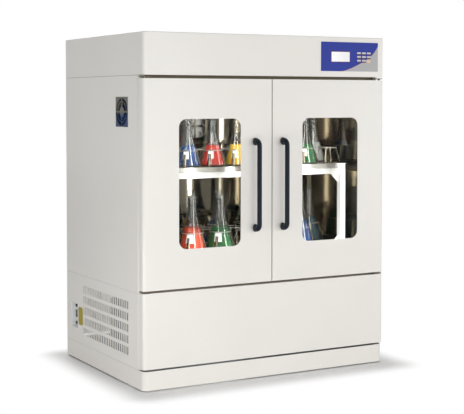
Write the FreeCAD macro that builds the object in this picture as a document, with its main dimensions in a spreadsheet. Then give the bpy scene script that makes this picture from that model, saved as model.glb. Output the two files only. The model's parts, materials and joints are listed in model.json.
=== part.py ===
import FreeCAD, Part
import math
import os
from types import SimpleNamespace

import Sketcher

# Floor standing incubator shaker: a two door heated and cooled cabinet whose two tier
# flask rack moves in a small horizontal circle.
# Millimetres, X to the right, Y to the back, Z up. The origin is on the floor, in the
# middle of the floor area that the cabinet and its door handles cover.

SIZES = {
    # Cabinet outside
    "cabinet_width": 1220,
    "cabinet_depth": 860,
    "cabinet_height": 1500,
    "hood_height": 179,
    "panel_sheet": 1.5,
    "panel_edge_radius": 18,
    "panel_return": 12,
    "front_edge_radius": 13,
    "seam": 0.8,
    "seat_gap": 0.3,
    "running_gap": 0.05,
    "overrun": 5,
    # Plinth and lower front
    "ground_gap": 5,
    "skirt_height": 80,
    "skirt_sheet": 1.5,
    "skirt_corner": 26,
    "base_seam": 8,
    "lower_panel_height": 319,
    "side_seam_drop": 5,
    "middle_seam": 10,
    "hood_seam": 14,
    "hood_flange": 25,
    "hood_top_radius": 4,
    # Base frame of rolled channel and angle
    "frame_underside": 40,
    "rail_size": 40,
    "rail_wall": 4,
    "bearer_offset": 300,
    "bearer_width": 30,
    "shelf_rail_offset": 250,
    "foot_radius": 25,
    "foot_height": 12,
    "foot_stem_radius": 8,
    "foot_inset": 70,
    # Chamber
    "side_insulation": 60,
    "floor_insulation": 40,
    "ceiling_insulation": 44,
    "chamber_depth": 708,
    "liner_sheet": 1.2,
    "jamb_depth": 18,
    "duct_depth": 60,
    "duct_slot_length": 150,
    "duct_slot_height": 12,
    "duct_slot_pitch": 220,
    "duct_slot_count": 4,
    "duct_slot_margin": 40,
    "intake_radius": 60,
    "intake_bar": 8,
    "fan_drop": 187,
    # Doors
    "door_thickness": 40,
    "door_gap": 4,
    "door_split": 5,
    "door_meeting_x": 12,
    "door_liner_sheet": 3,
    "window_inner_gap": 157,
    "window_outer_gap": 155,
    "window_foot_gap": 166,
    "window_head_gap": 170,
    "window_corner": 36,
    "pane_sheet": 4,
    "pane_overlap": 26,
    "collar_wall": 3,
    "seal_width": 14,
    "seal_inset": 2,
    "seal_meeting_gap": 0.8,
    "handle_reach": 56,
    "handle_length": 410,
    "handle_drop": 15.5,
    "left_handle_offset": 90,
    "right_handle_offset": 50,
    "handle_width": 22,
    "handle_bar": 21,
    "handle_arm": 36,
    "handle_outer_radius": 26,
    "handle_inner_radius": 9,
    "handle_chamfer": 4,
    # Door hinges
    "hinge_inset": 12,
    "hinge_pin_radius": 5,
    "hinge_pin_depth": 14,
    "hinge_boss_radius": 10,
    "hinge_washer_radius": 9,
    "hinge_plate": 4,
    "hinge_plate_length": 38,
    "hinge_plate_inset": 2,
    "hinge_plate_setback": 8,
    # Side vent slots and service recess
    "slot_width": 10,
    "slot_height": 34,
    "slot_pitch": 19.7,
    "slot_row_pitch": 49,
    "slot_columns": 26,
    "slot_rows": 5,
    "vent_front": 153,
    "vent_bottom": 130,
    "long_slot_length": 86,
    "long_slot_height": 10,
    "long_slot_columns": 5,
    "long_slot_pitch": 100,
    "rear_slot_length": 300,
    "rear_slot_rows": 6,
    "rear_slot_pitch": 24,
    "recess_rear_gap": 48,
    "recess_length": 84,
    "recess_bottom": 150,
    "recess_height": 114,
    "recess_depth": 33,
    "recess_flange": 4,
    "cover_rear_gap": 142,
    "cover_length": 54,
    "cover_bottom": 170,
    "cover_height": 83,
    "cover_corner": 14,
    "cover_flange": 3,
    "cover_sheet": 2,
    "fitting_setback": 18,
    "fitting_radius": 8,
    "fitting_length": 14,
    "fuse_height": 95,
    "gland_height": 13,
    "switch_height": 56,
    "switch_bezel_length": 34,
    "switch_bezel_width": 20,
    "switch_bezel_depth": 10,
    "switch_bezel_wall": 2.5,
    "rocker_crown": 3,
    "rocker_pin_radius": 1.5,
    # Side fan
    "side_fan_front": 147,
    "side_fan_drop": 219,
    "side_fan_size": 128,
    "side_fan_depth": 38,
    "side_fan_bore": 60,
    "side_fan_hub": 22,
    "side_fan_spider": 4,
    "side_fan_strut": 6,
    "side_fan_ring": 46,
    "side_fan_ring_width": 3,
    "side_fan_blade_tip": 58,
    "side_fan_blade": 2,
    "side_fan_blade_depth": 22,
    "side_fan_blades": 7,
    # Control panel
    "overlay_width": 310,
    "overlay_height": 131,
    "overlay_sheet": 2,
    "overlay_margin": 34,
    "overlay_rise": 25,
    "key_width": 20,
    "key_height": 12.5,
    "key_pitch_x": 27,
    "key_pitch_z": 17,
    "key_first_x": 204.5,
    "key_first_z": 46.5,
    "key_proud": 1.2,
    "key_flange": 1.3,
    "key_flange_sheet": 1,
    "key_travel": 0.8,
    "display_x": 55,
    "display_z": 43,
    "display_width": 98,
    "display_height": 44,
    "display_sheet": 0.8,
    "board_sheet": 1.6,
    "board_margin": 14,
    "board_spacer_radius": 3,
    # Air circulation
    "fan_motor_radius": 38,
    "fan_motor_depth": 30,
    "fan_shaft_radius": 6,
    "fan_wheel_radius": 80,
    "fan_wheel_depth": 18,
    "fan_wheel_plate": 3,
    "fan_hub_radius": 14,
    "fan_blade_root": 45,
    "fan_blades": 8,
    "coil_width": 600,
    "coil_depth": 36,
    "coil_height": 150,
    "coil_lift": 50,
    "coil_fins": 10,
    "coil_fin_gap": 36,
    "heater_radius": 5,
    "heater_lift": 230,
    "heater_pitch": 40,
    "heater_foot": 12,
    # Condensing unit
    "shelf_sheet": 3,
    "shelf_length": 560,
    "shelf_setback": 150,
    "compressor_radius": 80,
    "compressor_height": 150,
    "compressor_dome": 30,
    "compressor_shoulder": 40,
    "compressor_side_gap": 280,
    "compressor_setback": 560,
    "condenser_side_gap": 65,
    "condenser_width": 60,
    "condenser_length": 300,
    "condenser_height": 240,
    "condenser_setback": 190,
    "condenser_fins": 9,
    "condenser_fin_gap": 22,
    # Orbital drive
    "orbit_radius": 13,
    "drive_plate_sheet": 12,
    "drive_plate_width": 680,
    "drive_plate_front_edge": 130,
    "drive_plate_rear_edge": 80,
    "main_setback": 330,
    "idler_setback": 560,
    "idler_offset": 240,
    "main_housing_radius": 36,
    "idler_housing_radius": 28,
    "main_shaft_radius": 15,
    "idler_shaft_radius": 12,
    "floor_seal_gap": 1.5,
    "crank_disc_radius": 45,
    "idler_disc_radius": 34,
    "crank_disc_lift": 6,
    "crank_disc_height": 20,
    "counterweight_radius": 105,
    "crank_pin_radius": 10,
    "idler_pin_radius": 9,
    "carrier_lift": 5,
    "carrier_sheet": 14,
    "carrier_width": 700,
    "carrier_edge": 80,
    "carrier_window": 180,
    "pulley_radius": 90,
    "pulley_height": 25,
    "pulley_drop": 20,
    "pulley_hub": 10,
    "motor_pulley_radius": 30,
    "belt_sheet": 4,
    "belt_width": 20,
    "motor_offset": 230,
    "motor_radius": 50,
    "motor_height": 140,
    "motor_shaft_radius": 9,
    "motor_bracket_sheet": 8,
    "motor_bracket_width": 110,
    # Rack, trays and clamps
    "tray_side_gap": 60,
    "tray_overhang": 5,
    "tray_depth": 570,
    "tray_setback": 120,
    "tray_lip": 22,
    "tray_sheet": 2,
    "rack_tube": 25,
    "rack_post_depth": 30,
    "rack_inset": 5,
    "gusset_leg": 48,
    "gusset_sheet": 3,
    "clamp_sheet": 1.5,
    "clamp_strap": 14,
    "clamp_play": 1.5,
    "upper_pitch": 122,
    "lower_pitch": 140,
    # Flasks standing in the clamps
    "small_flask_radius": 55,
    "small_flask_height": 204,
    "large_flask_radius": 65,
    "large_flask_headroom": 85,
}

# Shares of a flask's height or radius
CLAMP_HEIGHT_SHARE = 0.37
CLAMP_KNEE_SHARE = 0.06
CONE_HEIGHT_SHARE = 0.71
NECK_RADIUS_SHARE = 0.31

# Share of the fan's depth that a blade fills
BLADE_CHORD_SHARE = 0.9

# Columns, counted from the left, that hold a flask in each row of a tray from the front back,
# and the number of columns after which they come again on a wider tray
FILL_REPEAT = 8
UPPER_FLASKS = ((0, 1, 2, 3, 5, 6), (5, 7), (2, 3, 7))
LOWER_FLASKS = ((1, 2, 5), (6,), (2, 3, 6))

# Clamps left out at each end of the front row, where the posts of the rack stand
UPPER_SPARED = 0
LOWER_SPARED = 1

KEY_COLUMNS = 3
KEY_ROWS = 3
FLASK_SIDES = 24
CLAMP_TURN_ANGLE = 45
COUNTERWEIGHT_ANGLE = 150
BLADE_PITCH_ANGLE = 38
WHEEL_BLADE_ANGLE = 25

os.makedirs("parts", exist_ok=True)
doc = FreeCAD.newDocument("incubator_shaker")
sheet = doc.addObject("Spreadsheet::Sheet", "Sizes")
for row, (name, value) in enumerate(SIZES.items(), start=1):
    sheet.set(f"A{row}", name)
    sheet.set(f"B{row}", str(value))
    sheet.setAlias(f"B{row}", name)
doc.recompute()


class Length:
    """A length that carries its number and the sheet expression that gives it."""

    def __init__(self, value, text):
        self.value = value
        self.text = text

    def __add__(self, other):
        return Length(self.value + number(other), f"({self.text} + {text_of(other)})")

    def __radd__(self, other):
        return Length(number(other) + self.value, f"({text_of(other)} + {self.text})")

    def __sub__(self, other):
        return Length(self.value - number(other), f"({self.text} - {text_of(other)})")

    def __rsub__(self, other):
        return Length(number(other) - self.value, f"({text_of(other)} - {self.text})")

    def __mul__(self, other):
        return Length(self.value * number(other), f"({self.text} * {text_of(other)})")

    __rmul__ = __mul__

    def __truediv__(self, other):
        return Length(self.value / number(other), f"({self.text} / {text_of(other)})")

    def __neg__(self):
        return Length(-self.value, f"(-1 * {self.text})")


def number(item):
    return item.value if isinstance(item, Length) else item


def text_of(item):
    return item.text if isinstance(item, Length) else repr(item)


s = SimpleNamespace(**{name: Length(value, f"Sizes.{name}") for name, value in SIZES.items()})
nodes = []


# Drawing helpers


def bind(item, values):
    """Tie properties of an object to expressions of the sheet."""
    for path, length in values.items():
        item.setExpression(path, text_of(length))


def place(item, spot, rotation=None):
    """Put an object at a spot, turned if a rotation is given."""
    if rotation is not None:
        item.Placement = FreeCAD.Placement(FreeCAD.Vector(), rotation)
    bind(item, {f"Placement.Base.{axis}": value for axis, value in zip("xyz", spot)})
    return item


def box(name, low, high):
    """A block between its lowest and its highest corner."""
    item = doc.addObject("Part::Box", name)
    sides = [high[i] - low[i] for i in range(3)]
    bind(item, dict(zip(("Length", "Width", "Height"), sides)))
    return place(item, low)


AXIS_TURNS = {
    "x": FreeCAD.Rotation(FreeCAD.Vector(0, 1, 0), 90),
    "y": FreeCAD.Rotation(FreeCAD.Vector(1, 0, 0), -90),
    "z": FreeCAD.Rotation(),
}


def cylinder(name, start, radius, length, axis="z"):
    """A round bar from a start point along an axis."""
    item = doc.addObject("Part::Cylinder", name)
    bind(item, {"Radius": radius, "Height": length})
    return place(item, start, AXIS_TURNS[axis])


def cone(name, start, radius, end_radius, length):
    item = doc.addObject("Part::Cone", name)
    bind(item, {"Radius1": radius, "Radius2": end_radius, "Height": length})
    return place(item, start)


def fuse(name, *items):
    if len(items) == 1:
        return items[0]
    item = doc.addObject("Part::MultiFuse", name)
    item.Shapes = list(items)
    item.Refine = True
    return item


def cut(name, base, *tools):
    item = doc.addObject("Part::Cut", name)
    item.Base = base
    item.Tool = fuse(f"{name}_tools", *tools)
    item.Refine = True
    return item


def group(name, *items):
    """Separate solids kept as one sub-part."""
    item = doc.addObject("Part::Compound", name)
    item.Links = list(items)
    return item


def copies(master, spots, turn=0):
    """Shapes of the master, one at each spot, turned about the vertical."""
    doc.recompute()
    shapes = []
    for spot in spots:
        shape = master.Shape.copy()
        shape.rotate(FreeCAD.Vector(), FreeCAD.Vector(0, 0, 1), turn)
        shape.translate(FreeCAD.Vector(*[number(value) for value in spot]))
        shapes.append(shape)
    return shapes


def shaped(name, shape):
    """A sub-part whose shape is worked out here from the sizes."""
    item = doc.addObject("Part::Feature", name)
    item.Shape = shape
    item.Placement = FreeCAD.Placement()
    return item


def node(label, item):
    """Name a finished sub-part."""
    item.Label = label
    nodes.append(item)
    return item


def body(name):
    return doc.addObject("PartDesign::Body", f"{name}_body")


def sketch_on(owner, role, offset=0):
    """A sketch on one of the body's own origin planes, moved along the plane's normal."""
    sketch = owner.newObject("Sketcher::SketchObject", f"{owner.Name}_sketch")
    plane = [item for item in owner.Origin.OriginFeatures if item.Role == role][0]
    sketch.AttachmentSupport = [(plane, "")]
    sketch.MapMode = "FlatFace"
    bind(sketch, {"AttachmentOffset.Base.z": offset})
    return sketch


def locate(sketch, item, point, x, y):
    """Hold a point of the sketch at its distances from the sketch's origin."""
    for kind, axis, value in (("DistanceX", -2, x), ("DistanceY", -1, y)):
        if isinstance(value, Length):
            rule = Sketcher.Constraint(kind, -1, 1, item, point, value.value)
            index = sketch.addConstraint(rule)
            sketch.setExpression(f"Constraints[{index}]", value.text)
        else:
            sketch.addConstraint(Sketcher.Constraint("PointOnObject", item, point, axis))


def hold_radius(sketch, item, radius):
    index = sketch.addConstraint(Sketcher.Constraint("Radius", item, radius.value))
    sketch.setExpression(f"Constraints[{index}]", radius.text)


def vector(x, y):
    return FreeCAD.Vector(x, y, 0)


def outline(sketch, corners):
    """A closed outline; a corner is (x, y), or (x, y, radius) where it is rounded."""
    count = len(corners)
    points = [vector(number(corner[0]), number(corner[1])) for corner in corners]
    leaving, arriving, arcs = [], [], []
    for index, corner in enumerate(corners):
        point = points[index]
        back = (points[index - 1] - point).normalize()
        ahead = (points[(index + 1) % count] - point).normalize()
        if len(corner) == 2:
            leaving.append(point)
            arriving.append(point)
            arcs.append(None)
            continue
        radius = corner[2].value
        half = back.getAngle(ahead) / 2
        reach = radius / math.tan(half)
        middle = point + (back + ahead).normalize() * (radius / math.sin(half))
        first, last = point + back * reach, point + ahead * reach
        turns_left = back.cross(ahead).z < 0
        low, high = (first, last) if turns_left else (last, first)
        angles = [math.atan2(end.y - middle.y, end.x - middle.x) for end in (low, high)]
        circle = Part.Circle(middle, FreeCAD.Vector(0, 0, 1), radius)
        arc = sketch.addGeometry(Part.ArcOfCircle(circle, *angles), False)
        arriving.append(first)
        leaving.append(last)
        arcs.append((arc, 1, 2) if turns_left else (arc, 2, 1))
    lines = []
    for index in range(count):
        line = Part.LineSegment(leaving[index], arriving[(index + 1) % count])
        lines.append(sketch.addGeometry(line, False))
    for index, corner in enumerate(corners):
        before, after = lines[index - 1], lines[index]
        if arcs[index] is None:
            sketch.addConstraint(Sketcher.Constraint("Coincident", before, 2, after, 1))
            locate(sketch, after, 1, corner[0], corner[1])
            continue
        arc, start, end = arcs[index]
        sketch.addConstraint(Sketcher.Constraint("Tangent", before, 2, arc, start))
        sketch.addConstraint(Sketcher.Constraint("Tangent", arc, end, after, 1))
        hold_radius(sketch, arc, corner[2])
        guide = sketch.addGeometry(Part.Point(points[index]), True)
        sketch.addConstraint(Sketcher.Constraint("PointOnObject", guide, 1, before))
        sketch.addConstraint(Sketcher.Constraint("PointOnObject", guide, 1, after))
        locate(sketch, guide, 1, corner[0], corner[1])


def rectangle(sketch, low, high, radius=None):
    ends = ((low[0], low[1]), (high[0], low[1]), (high[0], high[1]), (low[0], high[1]))
    outline(sketch, [end if radius is None else (*end, radius) for end in ends])


def circle(sketch, x, y, radius):
    ring = Part.Circle(vector(number(x), number(y)), FreeCAD.Vector(0, 0, 1), radius.value)
    item = sketch.addGeometry(ring, False)
    locate(sketch, item, 3, x, y)
    hold_radius(sketch, item, radius)


def pad(owner, sketch, length, reverse=False, midplane=False):
    item = owner.newObject("PartDesign::Pad", f"{owner.Name}_pad")
    item.Profile = sketch
    bind(item, {"Length": length})
    item.Reversed = reverse
    item.Midplane = midplane
    return item


def pocket(owner, sketch, length, reverse=False):
    item = owner.newObject("PartDesign::Pocket", f"{owner.Name}_pocket")
    item.Profile = sketch
    bind(item, {"Length": length})
    item.Reversed = reverse
    return item


def rows(owner, feature, sketch, across, up=None):
    """Repeat a feature in a row, or in a grid; across and up are (count, pitch)."""
    item = owner.newObject("PartDesign::LinearPattern", f"{owner.Name}_rows")
    item.Originals = [feature]
    item.Direction = (sketch, ["H_Axis"])
    item.Mode = "Extent"
    bind(item, {"Occurrences": across[0], "Length": across[1] * (across[0] - 1)})
    if up is not None:
        item.Direction2 = (sketch, ["V_Axis"])
        item.Mode2 = "Extent"
        bind(item, {"Occurrences2": up[0], "Length2": up[1] * (up[0] - 1)})
    owner.Tip = item
    return item


# Levels and planes that several sub-parts share

half_width = s.cabinet_width / 2
casing = half_width - s.panel_sheet
front = (s.handle_reach - s.cabinet_depth) / 2
rear = front + s.cabinet_depth
rear_inside = rear - s.panel_sheet
door_back = front + s.door_thickness
jamb_front = door_back + s.door_gap
chamber_front = jamb_front + s.jamb_depth
chamber_rear = chamber_front + s.chamber_depth
chamber_side = half_width - s.side_insulation
skirt_top = s.ground_gap + s.skirt_height
lower_bottom = skirt_top + s.base_seam
lower_top = lower_bottom + s.lower_panel_height
side_bottom = skirt_top + s.seam
side_seam = lower_top - s.side_seam_drop
hood_bottom = s.cabinet_height - s.hood_height
door_bottom = lower_top + s.middle_seam
door_top = hood_bottom - s.hood_seam
door_height = door_top - door_bottom
chamber_bottom = lower_top + s.floor_insulation
chamber_top = hood_bottom - s.ceiling_insulation
fan_height = chamber_top - s.fan_drop
side_fan_bottom = hood_bottom - s.side_fan_drop
jamb_side = half_width - s.panel_edge_radius - s.panel_return - s.seat_gap
frame_side = half_width - s.skirt_sheet
frame_front = chamber_front
hinge_x = half_width - s.hinge_inset
hinge_y = front + s.door_thickness / 2

crank_y = front + s.main_setback
idler_y = front + s.idler_setback
drive_plate_top = lower_top - s.rail_size
drive_plate_bottom = drive_plate_top - s.drive_plate_sheet
disc_bottom = chamber_bottom + s.crank_disc_lift
disc_top = disc_bottom + s.crank_disc_height
carrier_bottom = disc_top + s.carrier_lift
carrier_top = carrier_bottom + s.carrier_sheet
pulley_top = drive_plate_bottom - s.pulley_drop
pulley_bottom = pulley_top - s.pulley_height
tray_front = front + s.tray_setback
tray_rear = tray_front + s.tray_depth
tray_width = (chamber_side - s.tray_side_gap) * 2
rack_width = tray_width - s.tray_overhang * 2
tier_room = (chamber_top - carrier_top - s.rack_tube * 2 - s.tray_lip) / 2
lower_tray_top = carrier_top + s.rack_tube + s.tray_lip
upper_rail_bottom = carrier_top + s.rack_tube + tier_room
upper_tray_top = upper_rail_bottom + s.rack_tube + s.tray_lip
large_flask_height = upper_rail_bottom - lower_tray_top - s.large_flask_headroom
overlay_left = half_width - s.overlay_margin - s.overlay_width
overlay_bottom = hood_bottom + s.overlay_rise
key_spots = [
    (
        overlay_left + s.key_first_x + s.key_pitch_x * column,
        overlay_bottom + s.key_first_z + s.key_pitch_z * row,
    )
    for row in range(KEY_ROWS)
    for column in range(KEY_COLUMNS)
]
shaft_spots = (
    ("main", 0, crank_y, s.main_shaft_radius, s.main_housing_radius),
    ("idler_left", -s.idler_offset, idler_y, s.idler_shaft_radius, s.idler_housing_radius),
    ("idler_right", s.idler_offset, idler_y, s.idler_shaft_radius, s.idler_housing_radius),
)


# Base


def channel_ring(name, bottom):
    """A welded ring of channel whose open side looks inwards."""
    low = (-frame_side, frame_front, bottom)
    high = (frame_side, rear_inside, bottom + s.rail_size)
    inner = s.rail_size
    hollow = s.rail_wall
    outer = box(f"{name}_block", low, high)
    middle = box(
        f"{name}_middle",
        (low[0] + inner, low[1] + inner, low[2] - s.overrun),
        (high[0] - inner, high[1] - inner, high[2] + s.overrun),
    )
    web = box(
        f"{name}_hollow",
        (low[0] + hollow, low[1] + hollow, low[2] + hollow),
        (high[0] - hollow, high[1] - hollow, high[2] - hollow),
    )
    return cut(name, outer, middle, web)


def corner_post(name, side, depth_side):
    """An upright of angle section in one corner of the frame."""
    outer_x = s.rail_size
    y_edge = frame_front if depth_side < 0 else rear_inside
    x_ends = (frame_side * side, (frame_side - outer_x) * side)
    y_ends = (y_edge, y_edge - s.rail_size * depth_side)
    x_inner = ((frame_side - s.rail_wall) * side, (frame_side - outer_x - s.overrun) * side)
    y_inner = (y_edge - s.rail_wall * depth_side, y_ends[1] - s.overrun * depth_side)
    low_z, high_z = s.frame_underside + s.rail_size, drive_plate_top
    left, right = (0, 1) if side < 0 else (1, 0)
    near, far = (0, 1) if depth_side < 0 else (1, 0)
    block = box(f"{name}_block", (x_ends[left], y_ends[near], low_z), (x_ends[right], y_ends[far], high_z))
    room = box(
        f"{name}_room",
        (x_inner[left], y_inner[near], low_z - s.overrun),
        (x_inner[right], y_inner[far], high_z + s.overrun),
    )
    return cut(name, block, room)


def cross_channel(name, x_low, width, bottom):
    """A channel from the front rail to the rear rail, open downwards."""
    y_low, y_high = frame_front + s.rail_size, rear_inside - s.rail_size
    block = box(f"{name}_block", (x_low, y_low, bottom), (x_low + width, y_high, bottom + s.rail_size))
    room = box(
        f"{name}_room",
        (x_low + s.rail_wall, y_low - s.overrun, bottom - s.overrun),
        (x_low + width - s.rail_wall, y_high + s.overrun, bottom + s.rail_size - s.rail_wall),
    )
    return cut(name, block, room)


def make_base():
    pieces = [channel_ring("bottom_ring", s.frame_underside), channel_ring("top_ring", drive_plate_top)]
    for side in (-1, 1):
        for depth_side in (-1, 1):
            name = f"post_{'left' if side < 0 else 'right'}_{'front' if depth_side < 0 else 'rear'}"
            pieces.append(corner_post(name, side, depth_side))
    half_bearer = s.bearer_width / 2
    pieces.append(
        cross_channel("left_bearer", -s.bearer_offset - half_bearer, s.bearer_width, drive_plate_top)
    )
    pieces.append(
        cross_channel("right_bearer", s.bearer_offset - half_bearer, s.bearer_width, drive_plate_top)
    )
    pieces.append(
        cross_channel("shelf_rail", -s.shelf_rail_offset, s.rail_size, s.frame_underside)
    )
    node("base_frame", fuse("base_frame_weld", *pieces))

    foot = body("foot")
    profile = sketch_on(foot, "XZ_Plane")
    outline(
        profile,
        [
            (0, 0),
            (s.foot_radius, 0),
            (s.foot_radius, s.foot_height),
            (s.foot_stem_radius, s.foot_height),
            (s.foot_stem_radius, s.frame_underside),
            (0, s.frame_underside),
        ],
    )
    turned = foot.newObject("PartDesign::Revolution", "foot_turned")
    turned.Profile = profile
    turned.ReferenceAxis = (profile, ["V_Axis"])
    turned.Angle = 360
    foot_x = half_width - s.foot_inset
    spots = [
        (foot_x * side, depth, 0)
        for side in (-1, 1)
        for depth in (frame_front + s.foot_radius, rear_inside - s.foot_radius)
    ]
    node("levelling_feet", shaped("feet", Part.makeCompound(copies(foot, spots))))

    skirt = body("skirt")
    plan = sketch_on(skirt, "XY_Plane", s.ground_gap)
    outline(
        plan,
        [
            (-half_width, front, s.skirt_corner),
            (half_width, front, s.skirt_corner),
            (half_width, rear),
            (-half_width, rear),
        ],
    )
    inner_corner = s.skirt_corner - s.skirt_sheet
    inner_side = half_width - s.skirt_sheet
    outline(
        plan,
        [
            (-inner_side, front + s.skirt_sheet, inner_corner),
            (inner_side, front + s.skirt_sheet, inner_corner),
            (inner_side, rear_inside),
            (-inner_side, rear_inside),
        ],
    )
    pad(skirt, plan, s.skirt_height)
    node("base_skirt", skirt)


# Outer casing


def side_panel(owner, side, bottom, top):
    """Side sheet with a rounded front edge and a short return behind the doors."""
    inner_radius = s.panel_edge_radius - s.panel_sheet
    return_end = half_width - s.panel_edge_radius - s.panel_return
    plan = sketch_on(owner, "XY_Plane", bottom)
    outline(
        plan,
        [
            (half_width * side, rear),
            (half_width * side, jamb_front, s.panel_edge_radius),
            (return_end * side, jamb_front),
            (return_end * side, jamb_front + s.panel_sheet),
            (casing * side, jamb_front + s.panel_sheet, inner_radius),
            (casing * side, rear),
        ],
    )
    pad(owner, plan, top - bottom)


def side_hole(owner, side, low, high):
    """Cut a rectangle, given as (y, z) corners, through a side sheet."""
    plane_x = (half_width + s.overrun) * side
    sketch = sketch_on(owner, "YZ_Plane", plane_x)
    rectangle(sketch, low, high)
    depth = s.panel_sheet + s.overrun * 2
    return pocket(owner, sketch, depth, reverse=side < 0), sketch


def cover_ends(grow):
    """Corners, as (y, z), of the service cover, enlarged all round."""
    low = (rear - s.cover_rear_gap - s.cover_length, s.cover_bottom)
    high = (low[0] + s.cover_length, low[1] + s.cover_height)
    return [end - grow for end in low], [end + grow for end in high]


def make_casing():
    for side, name in ((-1, "lower_left_panel"), (1, "lower_right_panel")):
        panel = body(name)
        side_panel(panel, side, side_bottom, side_seam - s.seam)
        low = (front + s.vent_front, s.vent_bottom)
        if side < 0:
            recess_low = (rear - s.recess_rear_gap - s.recess_length, s.recess_bottom)
            recess_high = (recess_low[0] + s.recess_length, recess_low[1] + s.recess_height)
            side_hole(panel, side, recess_low, recess_high)
            cover_hole = sketch_on(panel, "YZ_Plane", (half_width + s.overrun) * side)
            rectangle(cover_hole, *cover_ends(s.seat_gap), s.cover_corner + s.seat_gap)
            pocket(panel, cover_hole, s.panel_sheet + s.overrun * 2, reverse=True)
            hole, sketch = side_hole(panel, side, low, (low[0] + s.slot_width, low[1] + s.slot_height))
            rows(
                panel,
                hole,
                sketch,
                (s.slot_columns, s.slot_pitch),
                (s.slot_rows, s.slot_row_pitch),
            )
        else:
            high = (low[0] + s.long_slot_length, low[1] + s.long_slot_height)
            hole, sketch = side_hole(panel, side, low, high)
            rows(
                panel,
                hole,
                sketch,
                (s.long_slot_columns, s.long_slot_pitch),
                (s.slot_rows, s.slot_row_pitch),
            )
        node(name, panel)

    for side, name in ((-1, "upper_left_panel"), (1, "upper_right_panel")):
        panel = body(name)
        side_panel(panel, side, side_seam, hood_bottom - s.seam * 2)
        if side < 0:
            low = (front + s.side_fan_front - s.seat_gap, side_fan_bottom - s.seat_gap)
            opening = s.side_fan_size + s.seat_gap * 2
            side_hole(panel, side, low, (low[0] + opening, low[1] + opening))
        node(name, panel)

    back = body("back")
    face = sketch_on(back, "XZ_Plane", -rear)
    back_side = casing - s.seat_gap
    rectangle(face, (-back_side, lower_bottom), (back_side, hood_bottom - s.seam))
    pad(back, face, s.panel_sheet)
    grille = sketch_on(back, "XZ_Plane", -rear - s.overrun)
    slot_left = -s.rear_slot_length / 2
    rectangle(
        grille,
        (slot_left, s.vent_bottom),
        (slot_left + s.rear_slot_length, s.vent_bottom + s.long_slot_height),
    )
    slot = pocket(back, grille, s.panel_sheet + s.overrun * 2, reverse=True)
    stack = back.newObject("PartDesign::LinearPattern", "back_rows")
    stack.Originals = [slot]
    stack.Direction = (grille, ["V_Axis"])
    stack.Mode = "Extent"
    extent = s.rear_slot_pitch * (s.rear_slot_rows - 1)
    bind(stack, {"Occurrences": s.rear_slot_rows, "Length": extent})
    back.Tip = stack
    node("rear_panel", back)

    tray_pan("lower_front_panel", -half_width, half_width, lower_bottom, lower_top, True)


def tray_pan(label, left, right, bottom, top, both_edges):
    """A front pan of folded sheet, open to the back, with rounded outer front edges."""
    pan = body(label)
    plan = sketch_on(pan, "XY_Plane", bottom)
    back = front + s.door_thickness + s.door_gap - s.seat_gap
    outline(
        plan,
        [
            (left, front, s.front_edge_radius),
            (right, front, s.front_edge_radius),
            (right, back),
            (left, back),
        ],
    )
    pad(pan, plan, top - bottom)
    inside = sketch_on(pan, "XY_Plane", bottom + s.panel_sheet)
    inner_radius = s.front_edge_radius - s.panel_sheet
    outline(
        inside,
        [
            (left + s.panel_sheet, front + s.panel_sheet, inner_radius),
            (right - s.panel_sheet, front + s.panel_sheet, inner_radius),
            (right - s.panel_sheet, back + s.overrun),
            (left + s.panel_sheet, back + s.overrun),
        ],
    )
    pocket(pan, inside, top - bottom - s.panel_sheet * 2, reverse=True)
    node(label, pan)


def make_hood():
    hood = body("hood")
    plan = sketch_on(hood, "XY_Plane", hood_bottom)
    outline(
        plan,
        [
            (-half_width, front, s.front_edge_radius),
            (half_width, front, s.front_edge_radius),
            (half_width, rear),
            (-half_width, rear),
        ],
    )
    block = pad(hood, plan, s.cabinet_height - hood_bottom)
    doc.recompute()
    top_edges = [
        f"Edge{index}"
        for index, edge in enumerate(block.Shape.Edges, start=1)
        if min(vertex.Z for vertex in edge.Vertexes) > s.cabinet_height.value - s.seam.value
    ]
    rounding = hood.newObject("PartDesign::Fillet", "hood_rounding")
    rounding.Base = (block, top_edges)
    bind(rounding, {"Radius": s.hood_top_radius})
    inside = sketch_on(hood, "XY_Plane", hood_bottom + s.panel_sheet)
    inner_radius = s.front_edge_radius - s.panel_sheet
    outline(
        inside,
        [
            (-casing, front + s.panel_sheet, inner_radius),
            (casing, front + s.panel_sheet, inner_radius),
            (casing, rear_inside),
            (-casing, rear_inside),
        ],
    )
    pocket(hood, inside, s.cabinet_height - hood_bottom - s.panel_sheet * 2, reverse=True)
    mouth = sketch_on(hood, "XY_Plane", hood_bottom - s.overrun)
    mouth_side = casing - s.hood_flange
    rectangle(
        mouth,
        (-mouth_side, front + s.hood_flange * 2),
        (mouth_side, rear_inside - s.hood_flange),
    )
    pocket(hood, mouth, s.overrun * 2, reverse=True)
    window = sketch_on(hood, "XZ_Plane", -front + s.overrun)
    margin = s.key_flange * 2
    first, last = key_spots[0], key_spots[-1]
    rectangle(
        window,
        (first[0] - s.key_width / 2 - margin, first[1] - s.key_height / 2 - margin),
        (last[0] + s.key_width / 2 + margin, last[1] + s.key_height / 2 + margin),
    )
    pocket(hood, window, s.panel_sheet + s.overrun * 2)
    node("control_hood", hood)


# Control panel


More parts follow.
